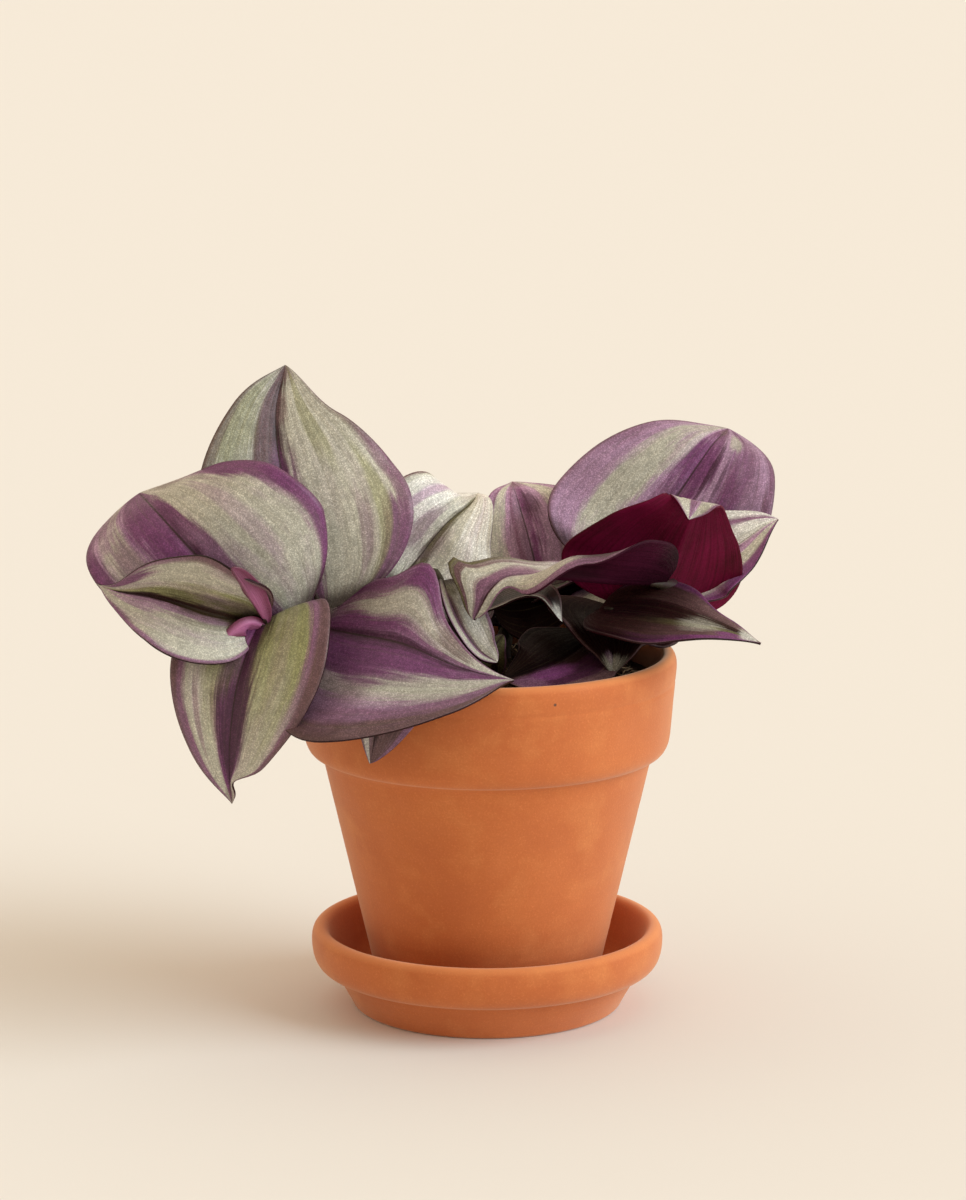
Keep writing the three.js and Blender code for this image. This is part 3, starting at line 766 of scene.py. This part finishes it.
def leafPoint(leaf, row, u, t, phase):
    # u runs from -1 at the left margin to 1 at the right one, t from the base to the tip
    shape = leafShape
    sign = -1 if u < 0 else 1
    out = abs(u)
    width, fold, curl = row[sign]
    if abs(curl) < 1e-3:
        curl = 1e-3
    across = width * (math.sin(fold + curl * out) - math.sin(fold)) / curl
    raised = width * (math.cos(fold) - math.cos(fold + curl * out)) / curl
    ends = math.sin(math.pi * t)
    small = leaf.get("small", False)
    wave = leaf.get("wave", shape["smallWave"] if small else shape["wave"])
    swing = math.sin(fullTurn * (shape["waves"] * t + phase + shape["sideShift"] * sign))
    raised += wave * out ** 3 * swing * ends
    if not small:
        ribbed = (1 - out ** 4) * min(out * 5, 1)
        raised += shape["vein"] * math.cos(fullTurn * shape["veinWaves"] * out) * ends * ribbed
        raised -= shape["groove"] * math.exp(-(out / shape["grooveReach"]) ** 2) * ends
    return row["rib"] + row["right"] * sign * across + row["up"] * raised


def leafPiece(name, leaf, seed):
    place, heading = smoothRun(leaf["rib"])[:2]
    small = leaf.get("small", False)
    columns = leafShape["smallColumns"] if small else leafShape["columns"]
    rowCount = leafShape["smallRows"] if small else leafShape["rows"]
    phase = random.Random(seed).random()
    bm = bmesh.new()
    bmesh.ops.create_grid(bm, x_segments=columns, y_segments=rowCount, size=1)
    sheet = bm.loops.layers.uv.new("leaf")
    rows = {}
    spots = {}
    for vert in bm.verts:
        u = max(min(vert.co.x, 1.0), -1.0)
        s = max(min((vert.co.y + 1) / 2, 1.0), 0.0)
        t = leafShape["start"] + (1 - leafShape["start"]) * (0.5 - 0.5 * math.cos(math.pi * s))
        key = round(s, 5)
        if key not in rows:
            rows[key] = leafRow(leaf, place, heading, min(t, 1.0))
        spots[vert] = ((u + 1) / 2, t)
        vert.co = leafPoint(leaf, rows[key], u, min(t, 1.0), phase) * mm
    for face in bm.faces:
        for loop in face.loops:
            loop[sheet].uv = spots[loop.vert]
    bm.normal_update()
    materials = [leafUpperMaterial(name + "Upper", leaf, seed), underMaterials[leaf.get("under", "maroon")]]
    piece = meshPiece(name, bm, materials)
    skin = piece.modifiers.new("skin", "SOLIDIFY")
    skin.thickness = (leafShape["smallThick"] if small else leafShape["thick"]) * mm
    skin.offset = 0
    skin.material_offset = 1
    skin.material_offset_rim = 1
    return piece


# the stems' shades are darkened near black: painted shade, as the stems stand in the shade among the leaves
shadedStemColours = {"green": (0.030, 0.030, 0.012), "purple": (0.032, 0.010, 0.014), "pale": (0.07, 0.06, 0.035)}
stemForm = {
    "radius": 1.9, "taper": 0.12, "joint": 0.22, "jointGap": 15, "steps": 60,
    "holeFloor": 70.2, "straight": 14,
    "sheathBase": 2.2, "sheathTip": 0.5, "sheathReach": 0.10, "sheathSteps": 8,
    "smallBase": 0.75, "smallTip": 0.6,  # a small leaf's sheath against a large one's
}


def stemMaterial(name, paleShare):
    material, tree, shader = newMaterial(name)
    green, purple, pale = [rgba(shadedStemColours[shade]) for shade in ("green", "purple", "pale")]
    spot = objectSpot(tree)
    blush = grain(tree, spot, 160, 3, 0.6)
    colour = paint(tree, green, purple, blush, 0.4, 0.62)
    dots = grain(tree, spot, 900, 2, 0.6)
    colour = paint(tree, colour, pale, dots, 0.5, 0.7, 0, paleShare)
    tree.links.new(colour, shader.inputs["Base Color"])
    setFinish(shader, 0.6, 0.2)
    addRelief(tree, shader, dots, 0.25, 0.4)
    return material


stemSkin = stemMaterial("stemSkin", 0.35)
sheathSkin = stemMaterial("sheathSkin", 0.15)


def sheathRun(leaf, stemSpots):
    # from the stem round the leaf's base and a little way up its midrib
    place = smoothRun(leaf["rib"])[0]
    bend, end = place(0), place(stemForm["sheathReach"])
    start = min(stemSpots, key=lambda p: (p - bend).length)
    small = leaf.get("small", False)
    wide = stemForm["sheathBase"] * (stemForm["smallBase"] if small else 1)
    thin = stemForm["sheathTip"] * (stemForm["smallTip"] if small else 1)
    run = []
    for i in range(stemForm["sheathSteps"] + 1):
        t = i / stemForm["sheathSteps"]
        run.append((bent(start, bend, end, t), wide + (thin - wide) * t ** 0.8))
    return run


def stemPieces(name, shoot):
    x, y = shoot["root"]
    straight = [(x, y, stemForm["holeFloor"] + stemForm["straight"] * s) for s in (0, 0.36, 0.71, 1)]
    place, _, length = smoothRun(straight + shoot["stem"])
    run = []
    for i in range(stemForm["steps"] + 1):
        t = i / stemForm["steps"]
        joint = stemForm["joint"] * max(math.cos(fullTurn * length * t / stemForm["jointGap"]), 0) ** 8
        run.append((place(t), stemForm["radius"] * (1 - stemForm["taper"] * t) + joint))
    stemSpots = [step[0] for step in run]
    sheaths = [sheathRun(leaf, stemSpots) for leaf in shoot["leaves"].values()]
    return [tubePiece(name, [run], stemSkin, 5), tubePiece(name + "Sheaths", sheaths, sheathSkin, 4)]


def hiddenLeaf(rib, face, left, right, curl=(0, -30, -20)):
    # a plain leaf for the side that the photo doesn't show
    fullness = (0.42, 0.9)
    return {"rib": rib, "face": face, "left": (left, *fullness), "right": (right, *fullness),
            "fold": [20, 15, 10], "curl": curl}


# Each leaf, in mm and degrees. What is a list runs from the leaf's base to its tip.
# rib: its midrib. face: where its upper side looks. small: it has a coarser mesh and a plain relief.
# left, right: a side's widest half width, and its fullness at the base and at the tip. A side's lobe
# adds to that: middle, extra, reach. fold, curl: how steep a side rises, and how far it bends outwards.
# Bands: as in bandRamp, with TipBands where the tip's differ. patches: as in brushPatch.
# paintedSideLight: painted light and shade on its left and right side. under: its underside. lilac, wobble,
# gloss and wave take the place of the usual ones.
leftLeaves = {
    "tallLeaf": {
        "rib": [(-38, -26, 100), (-43, -27, 116), (-47, -21, 130), (-49, -13, 144), (-47, -6, 155)],
        "face": [(0.1, -1, 0.25), (0, -1, 0.3), (0, -0.9, 0.5)],
        "left": (23, 0.5, 1.0), "right": (28, 0.5, 0.9), "foldLeft": [20, 30, 25], "foldRight": [10, 5, 10],
        "curl": [0, -20, 0],
        # painted shade: the dusk and umber tip bands and the dusk smudges at the tip and the left margin
        # darken the tip that turns from the light
        "leftBands": ("plum", 0.1, "dusk", 0.38, "silver", 0.97, "mauve"),
        "leftTipBands": ("umber", 0.08, "dusk", 0.34, "silver", 0.97, "dusk"),
        "rightBands": ("plum", 0.05, "mauve", 0.13, "silver", 0.95, "violet"),
        "rightTipBands": ("umber", 0.1, "silver", 0.97, "dusk"),
        "lilac": 0.12, "paintedSideLight": (0.72, 1.02),
        "patches": [(0.86, 0.2, 0.14, 0.18, "violet", 0.85), (0.93, 0.5, 0.08, 0.25, "mauve", 0.7),
                    (0.75, 0.35, 0.07, 0.3, "green", 0.6), (-0.75, 0.75, 0.35, 0.2, "green", 0.6),
                    (0, 1.0, 0.9, 0.07, "dusk", 0.8), (-0.03, 0.55, 0.14, 0.14, "violet", 0.6),
                    (0.06, 0.82, 0.14, 0.08, "dusk", 0.7), (0.45, 0.78, 0.12, 0.25, "green", 0.5),
                    (-0.95, 0.7, 0.12, 0.3, "dusk", 0.6), (0.6, 0.25, 0.08, 0.2, "mauve", 0.5)],
    },
    "roundLeaf": {
        "rib": [(-46, -33, 97), (-56, -40, 106), (-67, -41, 118), (-75, -33, 125), (-80, -20, 127)],
        "face": [(-0.1, -1, 0.1), (-0.25, -0.9, 0.35), (-0.45, -0.3, 0.85)],
        "left": (21.5, 0.7, 0.37), "right": (29, 0.46, 0.78), "fold": [10, 10, 5], "curl": [-20, -30, -20],
        "leftBands": ("plum", 0.05, "violet", 0.3, "lilac", 0.42, "silver", 0.9, "mauve"),
        "leftTipBands": ("plum", 0.04, "violet", 0.38, "lilac", 0.46, "silver", 0.8, "lilac", 0.93,
                         "mauve"),
        "rightBands": ("plum", 0.04, "mauve", 0.2, "silver", 0.86, "mauve", 0.95, "violet"),
        "rightTipBands": ("plum", 0.05, "violet", 0.18, "silver", 0.95, "mauve"),
        "paintedSideLight": (0.95, 0.97),
        "patches": [(0.85, 0.75, 0.2, 0.14, "violet", 1.0), (0.62, 0.9, 0.25, 0.06, "dusk", 0.6),
                    (-0.15, 0.75, 0.25, 0.25, "violet", 0.7), (-0.75, 0.85, 0.3, 0.1, "lilac", 0.6),
                    (0.95, 0.35, 0.08, 0.3, "violet", 0.7), (0.5, 0.5, 0.08, 0.3, "lilac", 0.35),
                    (-0.95, 0.7, 0.14, 0.3, "violet", 0.9), (-0.5, 0.62, 0.28, 0.22, "violet", 0.6),
                    (0.92, 0.6, 0.12, 0.2, "violet", 0.9), (-0.8, 0.93, 0.5, 0.08, "violet", 0.6)],
    },
    "boatLeaf": {
        "rib": [(-51, -41, 101), (-61, -47.5, 104), (-73, -48, 108), (-83, -45, 109), (-88, -42, 110)],
        "face": [(0.05, -1, 0.15)],
        "left": (14.4, 1.1, 1.5), "right": (18.5, 1.0, 2.0), "foldLeft": [38, 38, 30],
        "foldRight": [40, 42, 42, 38, 30], "curlLeft": [0], "curlRight": [50, 30, 0, 0, 0],
        "leftBands": ("umber", 0.1, "lilac", 0.24, "silver", 0.9, "mauve"),
        "rightBands": ("umber", 0.1, "olive", 0.3, "green", 0.5, "silver", 0.93, "mauve"),
        "rightTipBands": ("umber", 0.12, "green", 0.3, "silver", 0.95, "mauve"),
        "wave": 0.2,
        # painted shade: the umber smudge along the midrib darkens the crease of the fold
        "patches": [(0.75, 0.8, 0.25, 0.16, "violet", 0.9), (0.1, 0.15, 0.4, 0.15, "olive", 0.6),
                    (0.02, 0.4, 0.1, 0.5, "umber", 0.95), (0.95, 0.3, 0.12, 0.3, "dusk", 0.8),
                    (-0.3, 0.75, 0.12, 0.15, "lilac", 0.7), (-0.85, 0.8, 0.12, 0.1, "violet", 0.7),
                    (-0.15, 0.3, 0.2, 0.25, "olive", 0.35)],
    },
    "rolledYoungLeaf": {
        "rib": [(-49.6, -45, 101.7), (-52.6, -56, 110), (-56, -63, 117.6)], "face": [(0.3, 0.9, 0.3)],
        "left": (3.4, 0.7, 0.6), "right": (2.6, 0.7, 0.6), "fold": [35], "curl": [0], "small": True,
        "under": "pink",
    },
    "hangingLeaf": {
        "rib": [(-49, -35, 101), (-52, -46, 100), (-56, -52.5, 89), (-58, -51, 74), (-58, -45, 60)],
        "face": [(-0.35, -0.5, 0.7), (-0.1, -1, 0.1), (0, -1, -0.1)],
        "left": (19.5, 0.5, 1.15), "right": (17, 0.5, 1.1), "leftLobe": (0.885, -3.5, 0.055),
        "foldLeft": [15, 15, 20], "foldRight": [10], "curlLeft": [-20, -5, 0], "curlRight": [-20, -30, 0],
        "leftBands": ("plum", 0.08, "olive", 0.2, "green", 0.74, "mauve", 0.88, "dusk"),
        "leftTipBands": ("plum", 0.1, "violet", 0.25, "silver", 0.86, "mauve", 0.94, "dusk"),
        "rightBands": ("violet", 0.22, "green", 0.5, "silver", 0.76, "mauve", 0.88, "dusk"),
        "rightTipBands": ("plum", 0.12, "violet", 0.32, "silver", 0.74, "mauve", 0.9, "dusk"),
        "lilac": 0.2,
        "patches": [(0, 0.6, 0.26, 0.32, "plum", 0.9), (0.15, 0.35, 0.15, 0.15, "olive", 0.5),
                    (-0.93, 0.35, 0.1, 0.25, "dusk", 0.8), (0.6, 0.6, 0.06, 0.2, "mauve", 0.5),
                    (0, 0.97, 0.8, 0.06, "dusk", 0.5)],
    },
    "pointingLeaf": {
        "rib": [(-40, -26, 97), (-31, -36, 97.5), (-19, -43, 96.5), (-6, -46, 91.6), (6, -45.5, 88.5)],
        "face": [(-0.14, -0.62, 0.62), (-0.14, -0.62, 0.62), (0, -0.6, 0.7)],
        "left": (14.5, 0.7, 1.7), "right": (33, 0.82, 1.25), "leftLobe": (0.48, 8, 0.09),
        "fold": [5, 15, 20], "curl": [0, -10, 0],
        "leftBands": ("plum", 0.06, "violet", 0.4, "mauve", 0.8, "violet"),
        "leftTipBands": ("plum", 0.08, "mauve", 0.22, "silver", 0.86, "mauve"),
        "rightBands": ("plum", 0.08, "violet", 0.42, "silver", 0.56, "lilac", 0.68, "mauve", 0.88, "dusk"),
        "rightTipBands": ("plum", 0.08, "violet", 0.26, "silver", 0.62, "mauve", 0.85, "dusk"),
        "paintedSideLight": (0.9, 0.76),
        "patches": [(0.5, 0.34, 0.22, 0.16, "mauve", 0.55), (-0.8, 0.5, 0.22, 0.1, "violet", 0.95),
                    (-0.25, 0.28, 0.22, 0.2, "violet", 0.7), (0.15, 0.42, 0.22, 0.25, "violet", 0.85),
                    (0, 0.35, 0.1, 0.3, "plum", 0.8), (-0.5, 0.42, 0.2, 0.24, "silver", 0.85),
                    (-0.85, 0.47, 0.16, 0.05, "violet", 1.0), (0.95, 0.5, 0.12, 0.3, "dusk", 0.6),
                    (0.6, 0.12, 0.5, 0.1, "mauve", 0.7), (-0.6, 0.72, 0.3, 0.1, "dusk", 0.6)],
    },
    "lipLeaf": {
        "rib": [(-25, -20, 91), (-21, -32, 91.5), (-21, -42, 90), (-24, -47.5, 83), (-26.5, -48, 70)],
        "face": [(0, -0.3, 1), (0, -0.9, 0.4), (0, -1, 0)],
        "left": (13, 0.5, 0.8), "right": (8, 0.6, 0.9), "foldLeft": [-5, 0, 15], "foldRight": [0, 5, 15],
        "curl": [0],
        # painted shade: its bands and smudge are dusk and umber, as it hangs in the pointing leaf's shadow
        "leftBands": ("umber", 0.1, "dusk", 0.8, "mauve"),
        "rightBands": ("umber", 0.08, "dusk", 0.4, "silver", 0.8, "dusk"),
        "patches": [(-0.4, 0.7, 0.3, 0.3, "dusk", 0.6)],
    },
    "leafBud": {
        "rib": [(-49.9, -45, 101), (-54.5, -49, 102.2), (-61.2, -50, 97.3)], "face": [(0, 0.9, 0.3)],
        "left": (1.6, 0.5, 1), "right": (6, 0.5, 2.4), "foldLeft": [45], "foldRight": [15], "curl": [0],
        "small": True, "under": "pink",
    },
}

middleLeaves = {
    "crestLeaf": {
        "rib": [(-22, -5, 102), (-16, -1, 109), (-10, 2, 116), (-4, 8, 120), (-2, 17, 121)],
        "face": [(0, -1, 0.1), (0, -0.95, 0.3), (-0.2, -0.5, 0.8)],
        "left": (17, 0.4, 0.9), "right": (23, 0.33, 1.5), "fold": [15, 20, 15], "curl": [0, -20, 0],
        "leftBands": ("olive", 0.06, "silver", 0.3, "pale", 0.9, "silver", 0.97, "dusk"),
        "rightBands": ("olive", 0.08, "silver", 0.3, "pale", 0.9, "silver", 0.97, "dusk"),
        "lilac": 0.25, "paintedSideLight": (1.12, 1.25),
        "patches": [(-0.25, 0.42, 0.12, 0.18, "violet", 0.5), (-0.55, 0.2, 0.25, 0.2, "lilac", 0.7),
                    (0.03, 0.55, 0.05, 0.25, "olive", 0.6), (0.02, 0.8, 0.1, 0.1, "olive", 0.5),
                    (-0.6, 0.6, 0.1, 0.2, "lilac", 0.7)],
    },
    "narrowYoungLeaf": {
        "rib": [(-10.5, -18, 106.5), (-8.5, -22, 102), (-5.7, -25, 96.5), (-2, -27, 91.7), (2.2, -28, 89)],
        "face": [(0.5, -0.8, 0.3)],
        "left": (7, 0.5, 0.6), "right": (4.6, 0.5, 0.6), "foldLeft": [20], "foldRight": [35], "curl": [0],
        "leftBands": ("dusk", 0.1, "silver", 0.35, "pale", 0.65, "silver", 0.85, "mauve"),
        "rightBands": ("umber", 0.12, "mauve", 0.35, "silver", 0.85, "mauve"),
        "small": True, "lilac": 0.1, "gloss": 0.5,
        "patches": [(-0.6, 0.1, 0.9, 0.12, "olive", 0.7), (-0.3, 0.6, 0.12, 0.25, "pale", 0.7)],
    },
    "backLeftLeaf": hiddenLeaf([(-10, -1, 95), (-24, 8, 103), (-38, 14, 104), (-54, 20, 95)],
                               [(0, 0.1, 1), (-0.2, 0.1, 1), (-0.5, 0.2, 0.8)], 19, 18),
}

rightLeaves = {
    "bigLeaf": {
        "rib": [(30, 3, 101), (38, 11, 110), (46, 17, 121), (54, 25, 131), (59, 38, 133.5)],
        "face": [(-0.2, -0.95, 0.1), (0.1, -0.8, 0.6), (0.3, -0.1, 0.95)],
        "left": (26, 0.26, 0.75), "right": (24, 0.5, 0.7), "fold": [10, 10, 5], "curl": [-10, -20, -10],
        "leftBands": ("plum", 0.05, "mauve", 0.18, "lilac", 0.36, "silver", 0.62, "lilac", 0.93, "mauve"),
        "leftTipBands": ("violet", 0.2, "lilac", 0.32, "silver", 0.75, "lilac", 0.93, "mauve"),
        "rightBands": ("violet", 0.16, "lilac", 0.38, "violet", 0.62, "lilac", 0.93, "mauve"),
        "lilac": 0.6, "wobble": 0.5, "paintedSideLight": (0.88, 0.82), "gloss": 0.2,
        "patches": [(-0.05, 0.68, 0.25, 0.16, "violet", 0.95), (0.35, 0.86, 0.14, 0.08, "silver", 0.8),
                    (0.55, 0.66, 0.3, 0.14, "mauve", 0.4), (-0.85, 0.3, 0.15, 0.3, "lilac", 0.6),
                    (0.65, 0.84, 0.15, 0.1, "mauve", 0.5), (0, 0.94, 0.12, 0.06, "dusk", 0.6),
                    (-0.25, 0.75, 0.06, 0.2, "pale", 0.5), (0.18, 0.66, 0.03, 0.2, "plum", 0.8),
                    (0.32, 0.62, 0.025, 0.14, "plum", 0.6)],
    },
    "cuppedLeaf": {
        "rib": [(39, 0, 95), (42.5, -4, 104.5), (46, -9, 115), (48.9, -13.5, 124), (46.5, -17, 120.5)],
        "face": [(-0.25, 0.8, 0.5)] * 5 + [(0.12, 0.1, 0.85), (0.35, -0.64, 0.4)],
        "left": (19, 0.35, 1.05), "right": (26, 0.36, 0.95), "foldLeft": [0], "foldRight": [15, 15, 0],
        "curl": [0],
        "leftBands": ("lilac", 0.2, "silver", 0.8, "mauve"),
        "rightBands": ("mauve", 0.2, "silver", 0.8, "mauve"),
        "under": "crimson",
        "patches": [],
    },
    "flagLeaf": {
        "rib": [(44, 3, 99.7), (50.7, 7, 105), (59.4, 8, 110), (65.4, 9, 114), (69.4, 10, 116)],
        "face": [(0, -0.8, 0.55)],
        "left": (12, 0.5, 0.9), "right": (11.5, 0.5, 1.1), "fold": [15, 20, 20], "curl": [0],
        "leftBands": ("silver", 0.15, "pale", 0.5, "mauve", 0.7, "pale"),
        "rightBands": ("pale", 0.1, "lilac", 0.3, "silver", 0.72, "mauve", 0.85, "violet"),
        "paintedSideLight": (1.2, 1.25),
        "patches": [(-0.1, 0.6, 0.12, 0.3, "pale", 0.5), (0.12, 0.55, 0.06, 0.15, "violet", 0.7),
                    (0.85, 0.6, 0.2, 0.2, "violet", 0.8)],
    },
    "archedLeaf": {
        "rib": [(42, -10, 104), (31, -19, 106), (18, -24, 108), (6, -26, 109), (1, -28, 106),
                (-3, -28, 99)],
        "face": [(0, 0.1, 1), (0, 0, 1), (-0.2, -0.8, 0.4)],
        "left": (16, 0.45, 0.8), "right": (11.2, 0.6, 0.55), "leftLobe": (0.8, -6.5, 0.13),
        "rightLobe": (0.865, 5.8, 0.045), "foldLeft": [50, 50, 80, 10, 0],
        "foldRight": [20, 20, 10, -10, 10], "curlLeft": [0, -10, -110, -40, -10], "curlRight": [0],
        "leftBands": ("dusk", 0.12, "silver", 0.8, "mauve"),
        "rightBands": ("dusk", 0.1, "silver", 0.5, "pale", 0.9, "mauve"),
        "rightTipBands": ("umber", 0.06, "mauve", 0.34, "silver", 0.68, "dusk", 0.85, "olive"),
        "wave": 0.2, "under": "purple", "gloss": 0.16,
        # painted shade: the plum and umber smudges darken the rolled half where it turns under
        "patches": [(0.3, 0.7, 0.3, 0.07, "mauve", 0.7), (-0.3, 0.88, 0.2, 0.12, "pale", 0.6),
                    (-0.62, 0.33, 0.5, 0.2, "plum", 1.0), (-0.65, 0.3, 0.5, 0.2, "umber", 0.7),
                    (0.45, 0.9, 0.1, 0.1, "pale", 0.5)],
    },
    "shelfLeaf": {
        "rib": [(26, -10, 98), (37, -18, 99), (47, -23, 98), (56, -25, 96), (63, -26, 93)],
        "face": [(0, -0.2, 1)],
        "left": (14, 0.5, 1.4), "right": (15, 0.5, 1.3), "foldLeft": [20, 20, 15], "foldRight": [0],
        "curl": [0, -15, -10],
        # painted shade: its bands are near black, as it lies in the shadow of the cupped and arched leaves
        "leftBands": ("soot", 0.3, "umber", 0.85, "plum"),
        "leftTipBands": ("umber", 0.3, "dusk", 0.85, "violet"),
        "rightBands": ("soot", 0.3, "umber", 0.85, "soot"),
        "rightTipBands": ("umber", 0.2, "olive", 0.4, "dusk", 0.8, "violet"),
        "lilac": 0, "gloss": 0.12,
        "patches": [(0.15, 0.66, 0.35, 0.13, "silver", 0.55), (0.6, 0.82, 0.22, 0.07, "violet", 0.9),
                    (-0.5, 0.92, 0.5, 0.06, "silver", 0.7), (0.1, 0.93, 0.9, 0.06, "pale", 0.7)],
    },
    "beakLeaf": {
        "rib": [(28, 2, 97), (28, -5, 94), (28, -14, 92), (29, -19, 89), (29, -21, 84)],
        "face": [(0, -0.2, 1), (0, -0.4, 0.9), (0, -0.9, 0.4)],
        "left": (18, 0.5, 1.3), "right": (15, 0.5, 1.3), "foldLeft": [0, -10, 10],
        "foldRight": [20, 25, 25], "curl": [0, -10, -10],
        # painted shade: near black bands and low painted light, as it lies deep under the right shoot's
        # leaves
        "leftBands": ("soot", 0.8, "umber", 0.93, "dusk"),
        "rightBands": ("soot", 0.8, "umber", 0.93, "dusk"),
        "lilac": 0, "paintedSideLight": (0.6, 0.6), "gloss": 0.03,
        "patches": [(0, 0.92, 0.9, 0.1, "silver", 0.95), (0.2, 0.84, 0.25, 0.06, "lilac", 0.4)],
    },
    "lowLeaf": {
        "rib": [(25, -5, 90), (19, -16, 88), (13, -25, 87), (4, -29, 85)], "face": [(0, -0.3, 1)],
        "left": (13, 0.6, 0.6), "right": (12, 0.5, 0.8), "foldLeft": [0, -5, 0], "foldRight": [15],
        "curl": [0],
        # painted shade: dark bands and low painted light on its right side, as it lies under the leaves
        # above it
        "leftBands": ("umber", 0.25, "plum", 0.75, "dusk"),
        "rightBands": ("soot", 0.3, "umber", 0.9, "soot"),
        "lilac": 0, "paintedSideLight": (1.0, 0.35), "gloss": 0.05,
        "patches": [(-0.25, 0.68, 0.25, 0.2, "violet", 1.0), (-0.6, 0.88, 0.5, 0.1, "mauve", 0.6)],
    },
    "backRightLeaf": hiddenLeaf([(24, 1, 92), (36, 9, 96), (47, 15, 95), (58, 21, 87)],
                                [(0, 0.1, 1), (0.2, 0.1, 1), (0.5, 0.2, 0.8)], 16, 17),
}

frontLeaves = {
    "hookedLeaf": {
        "rib": [(-1, -12, 98), (7, -13, 101.4), (13.5, -14, 102), (17.3, -15, 96)],
        "face": [(0, -0.2, 1), (0, -0.2, 1), (0.6, -0.6, 0.4)],
        "left": (6, 0.5, 1.1), "right": (4.5, 0.5, 0.9), "fold": [10, 15, 15], "curl": [0],
        # painted shade: its bands are near black, as it lies in the arched leaf's shadow
        "leftBands": ("soot", 0.3, "umber", 0.8, "dusk"),
        "rightBands": ("soot", 0.3, "dusk", 0.75, "silver"),
        "small": True, "lilac": 0, "gloss": 0.6,
        "patches": [(0.1, 0.95, 0.9, 0.14, "pale", 1.0)],
    },
    "uprightLeaf": {
        "rib": [(1.5, -13, 82), (2, -14.5, 86), (2.2, -15, 89.5), (3.6, -15, 93)], "face": [(0.2, -1, 0)],
        "left": (4.5, 0.5, 0.6), "right": (2.5, 0.5, 0.6), "fold": [20], "curl": [0],
        "leftBands": ("umber", 0.3, "olive", 0.85, "dusk"),
        "rightBands": ("umber", 0.3, "olive", 0.85, "mauve"),
        "small": True, "lilac": 0,
        "patches": [(0.3, 0.7, 0.5, 0.3, "green", 0.5)],
    },
}

backLeaves = {
    "fanLeaf": {
        "rib": [(13, 15, 98), (11, 18, 106), (9, 21, 113), (7, 26, 119), (6, 34, 121)],
        "face": [(0, -1, 0.1), (0, -0.9, 0.3), (0, -0.6, 0.8)],
        "left": (16, 0.5, 1.3), "right": (20, 0.5, 0.8), "foldLeft": [15], "foldRight": [0],
        "curl": [0, -20, 0],
        "leftBands": ("plum", 0.1, "mauve", 0.24, "lilac", 0.4, "silver", 0.7, "mauve"),
        "rightBands": ("violet", 0.18, "lilac", 0.4, "silver", 0.7, "lilac", 0.9, "mauve"),
        "lilac": 0.6, "paintedSideLight": (1.35, 1.35),
        "patches": [(-0.05, 0.5, 0.1, 0.35, "lilac", 0.6), (0.15, 0.65, 0.12, 0.15, "plum", 0.7),
                    (0, 0.95, 0.6, 0.08, "dusk", 0.6), (0.5, 0.3, 0.15, 0.2, "olive", 0.4)],
    },
    # painted shade: this leaf is near black all over, with its painted light turned low, and fills the
    # shaded hollow between the back and right shoots
    "innerShadeLeaf": {
        "rib": [(-1, 19, 98), (8, 21.5, 99.5), (19, 22.5, 100), (28, 24, 98)], "face": [(0, -0.8, 0.6)],
        "left": (9, 0.5, 0.8), "right": (19, 0.25, 0.8), "fold": [10], "curl": [0, -15, 0],
        "leftBands": ("soot", 0.5, "umber"), "rightBands": ("soot", 0.6, "umber"),
        "lilac": 0, "paintedSideLight": (0.35, 0.35), "gloss": 0.02,
        "patches": [],
    },
    "farLeftLeaf": hiddenLeaf([(4, 20, 97), (-12, 30, 106), (-28, 42, 108), (-42, 55, 98)],
                              [(0, 0.1, 1), (-0.2, 0.3, 1), (-0.3, 0.5, 0.7)], 20, 22),
    "farLeaf": hiddenLeaf([(8, 24, 102), (10, 38, 110), (13, 52, 106), (16, 62, 92)],
                          [(0, -0.2, 1), (0, 0.3, 1), (0, 0.8, 0.5)], 21, 21),
    "farRightLeaf": hiddenLeaf([(7, 20, 92), (17, 32, 99), (29, 44, 96), (39, 54, 84)],
                               [(0, 0.1, 1), (0.3, 0.3, 1), (0.5, 0.5, 0.6)], 18, 18),
    "trailingLeaf": hiddenLeaf([(5, 17, 88), (-6, 34, 93), (-14, 48, 84), (-18, 54, 66)],
                               [(0, -0.1, 1), (-0.1, 0.6, 0.8), (-0.2, 1, 0.2)], 18, 18, [0, -20, -10]),
}

shoots = {
    "left_shoot": {
        "root": (-15, -12), "leaves": leftLeaves,
        "stem": [(-20, -15, 89), (-29, -20, 95), (-38, -26, 98), (-46, -32.5, 99), (-51, -38.5, 100)],
    },
    "middle_shoot": {
        "root": (-7, 0), "leaves": middleLeaves,
        "stem": [(-9, -2.5, 91), (-12.5, -8, 101), (-12.5, -14, 107)],
    },
    "right_shoot": {
        "root": (14, 4), "leaves": rightLeaves,
        "stem": [(20, 2, 89.5), (29, -1.5, 95.5), (37.5, -5, 99.3), (43, -8.5, 103)],
    },
    "front_shoot": {
        "root": (-3, -14), "leaves": frontLeaves,
        "stem": [(-2.5, -14.5, 88), (-1, -13, 97)],
    },
    "back_shoot": {
        "root": (4, 16), "leaves": backLeaves,
        "stem": [(5, 18, 89), (7.5, 21.5, 96), (8, 24, 102)],
    },
}

seed = 1
for node, shoot in shoots.items():
    grown = stemPieces(node.split("_")[0] + "Stem", shoot)
    for name, leaf in shoot["leaves"].items():
        grown.append(leafPiece(name, leaf, seed))
        seed += 1
    for piece in grown:
        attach(piece, "root")
        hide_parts(node)
    print(node, "grown:", len(grown), "pieces")
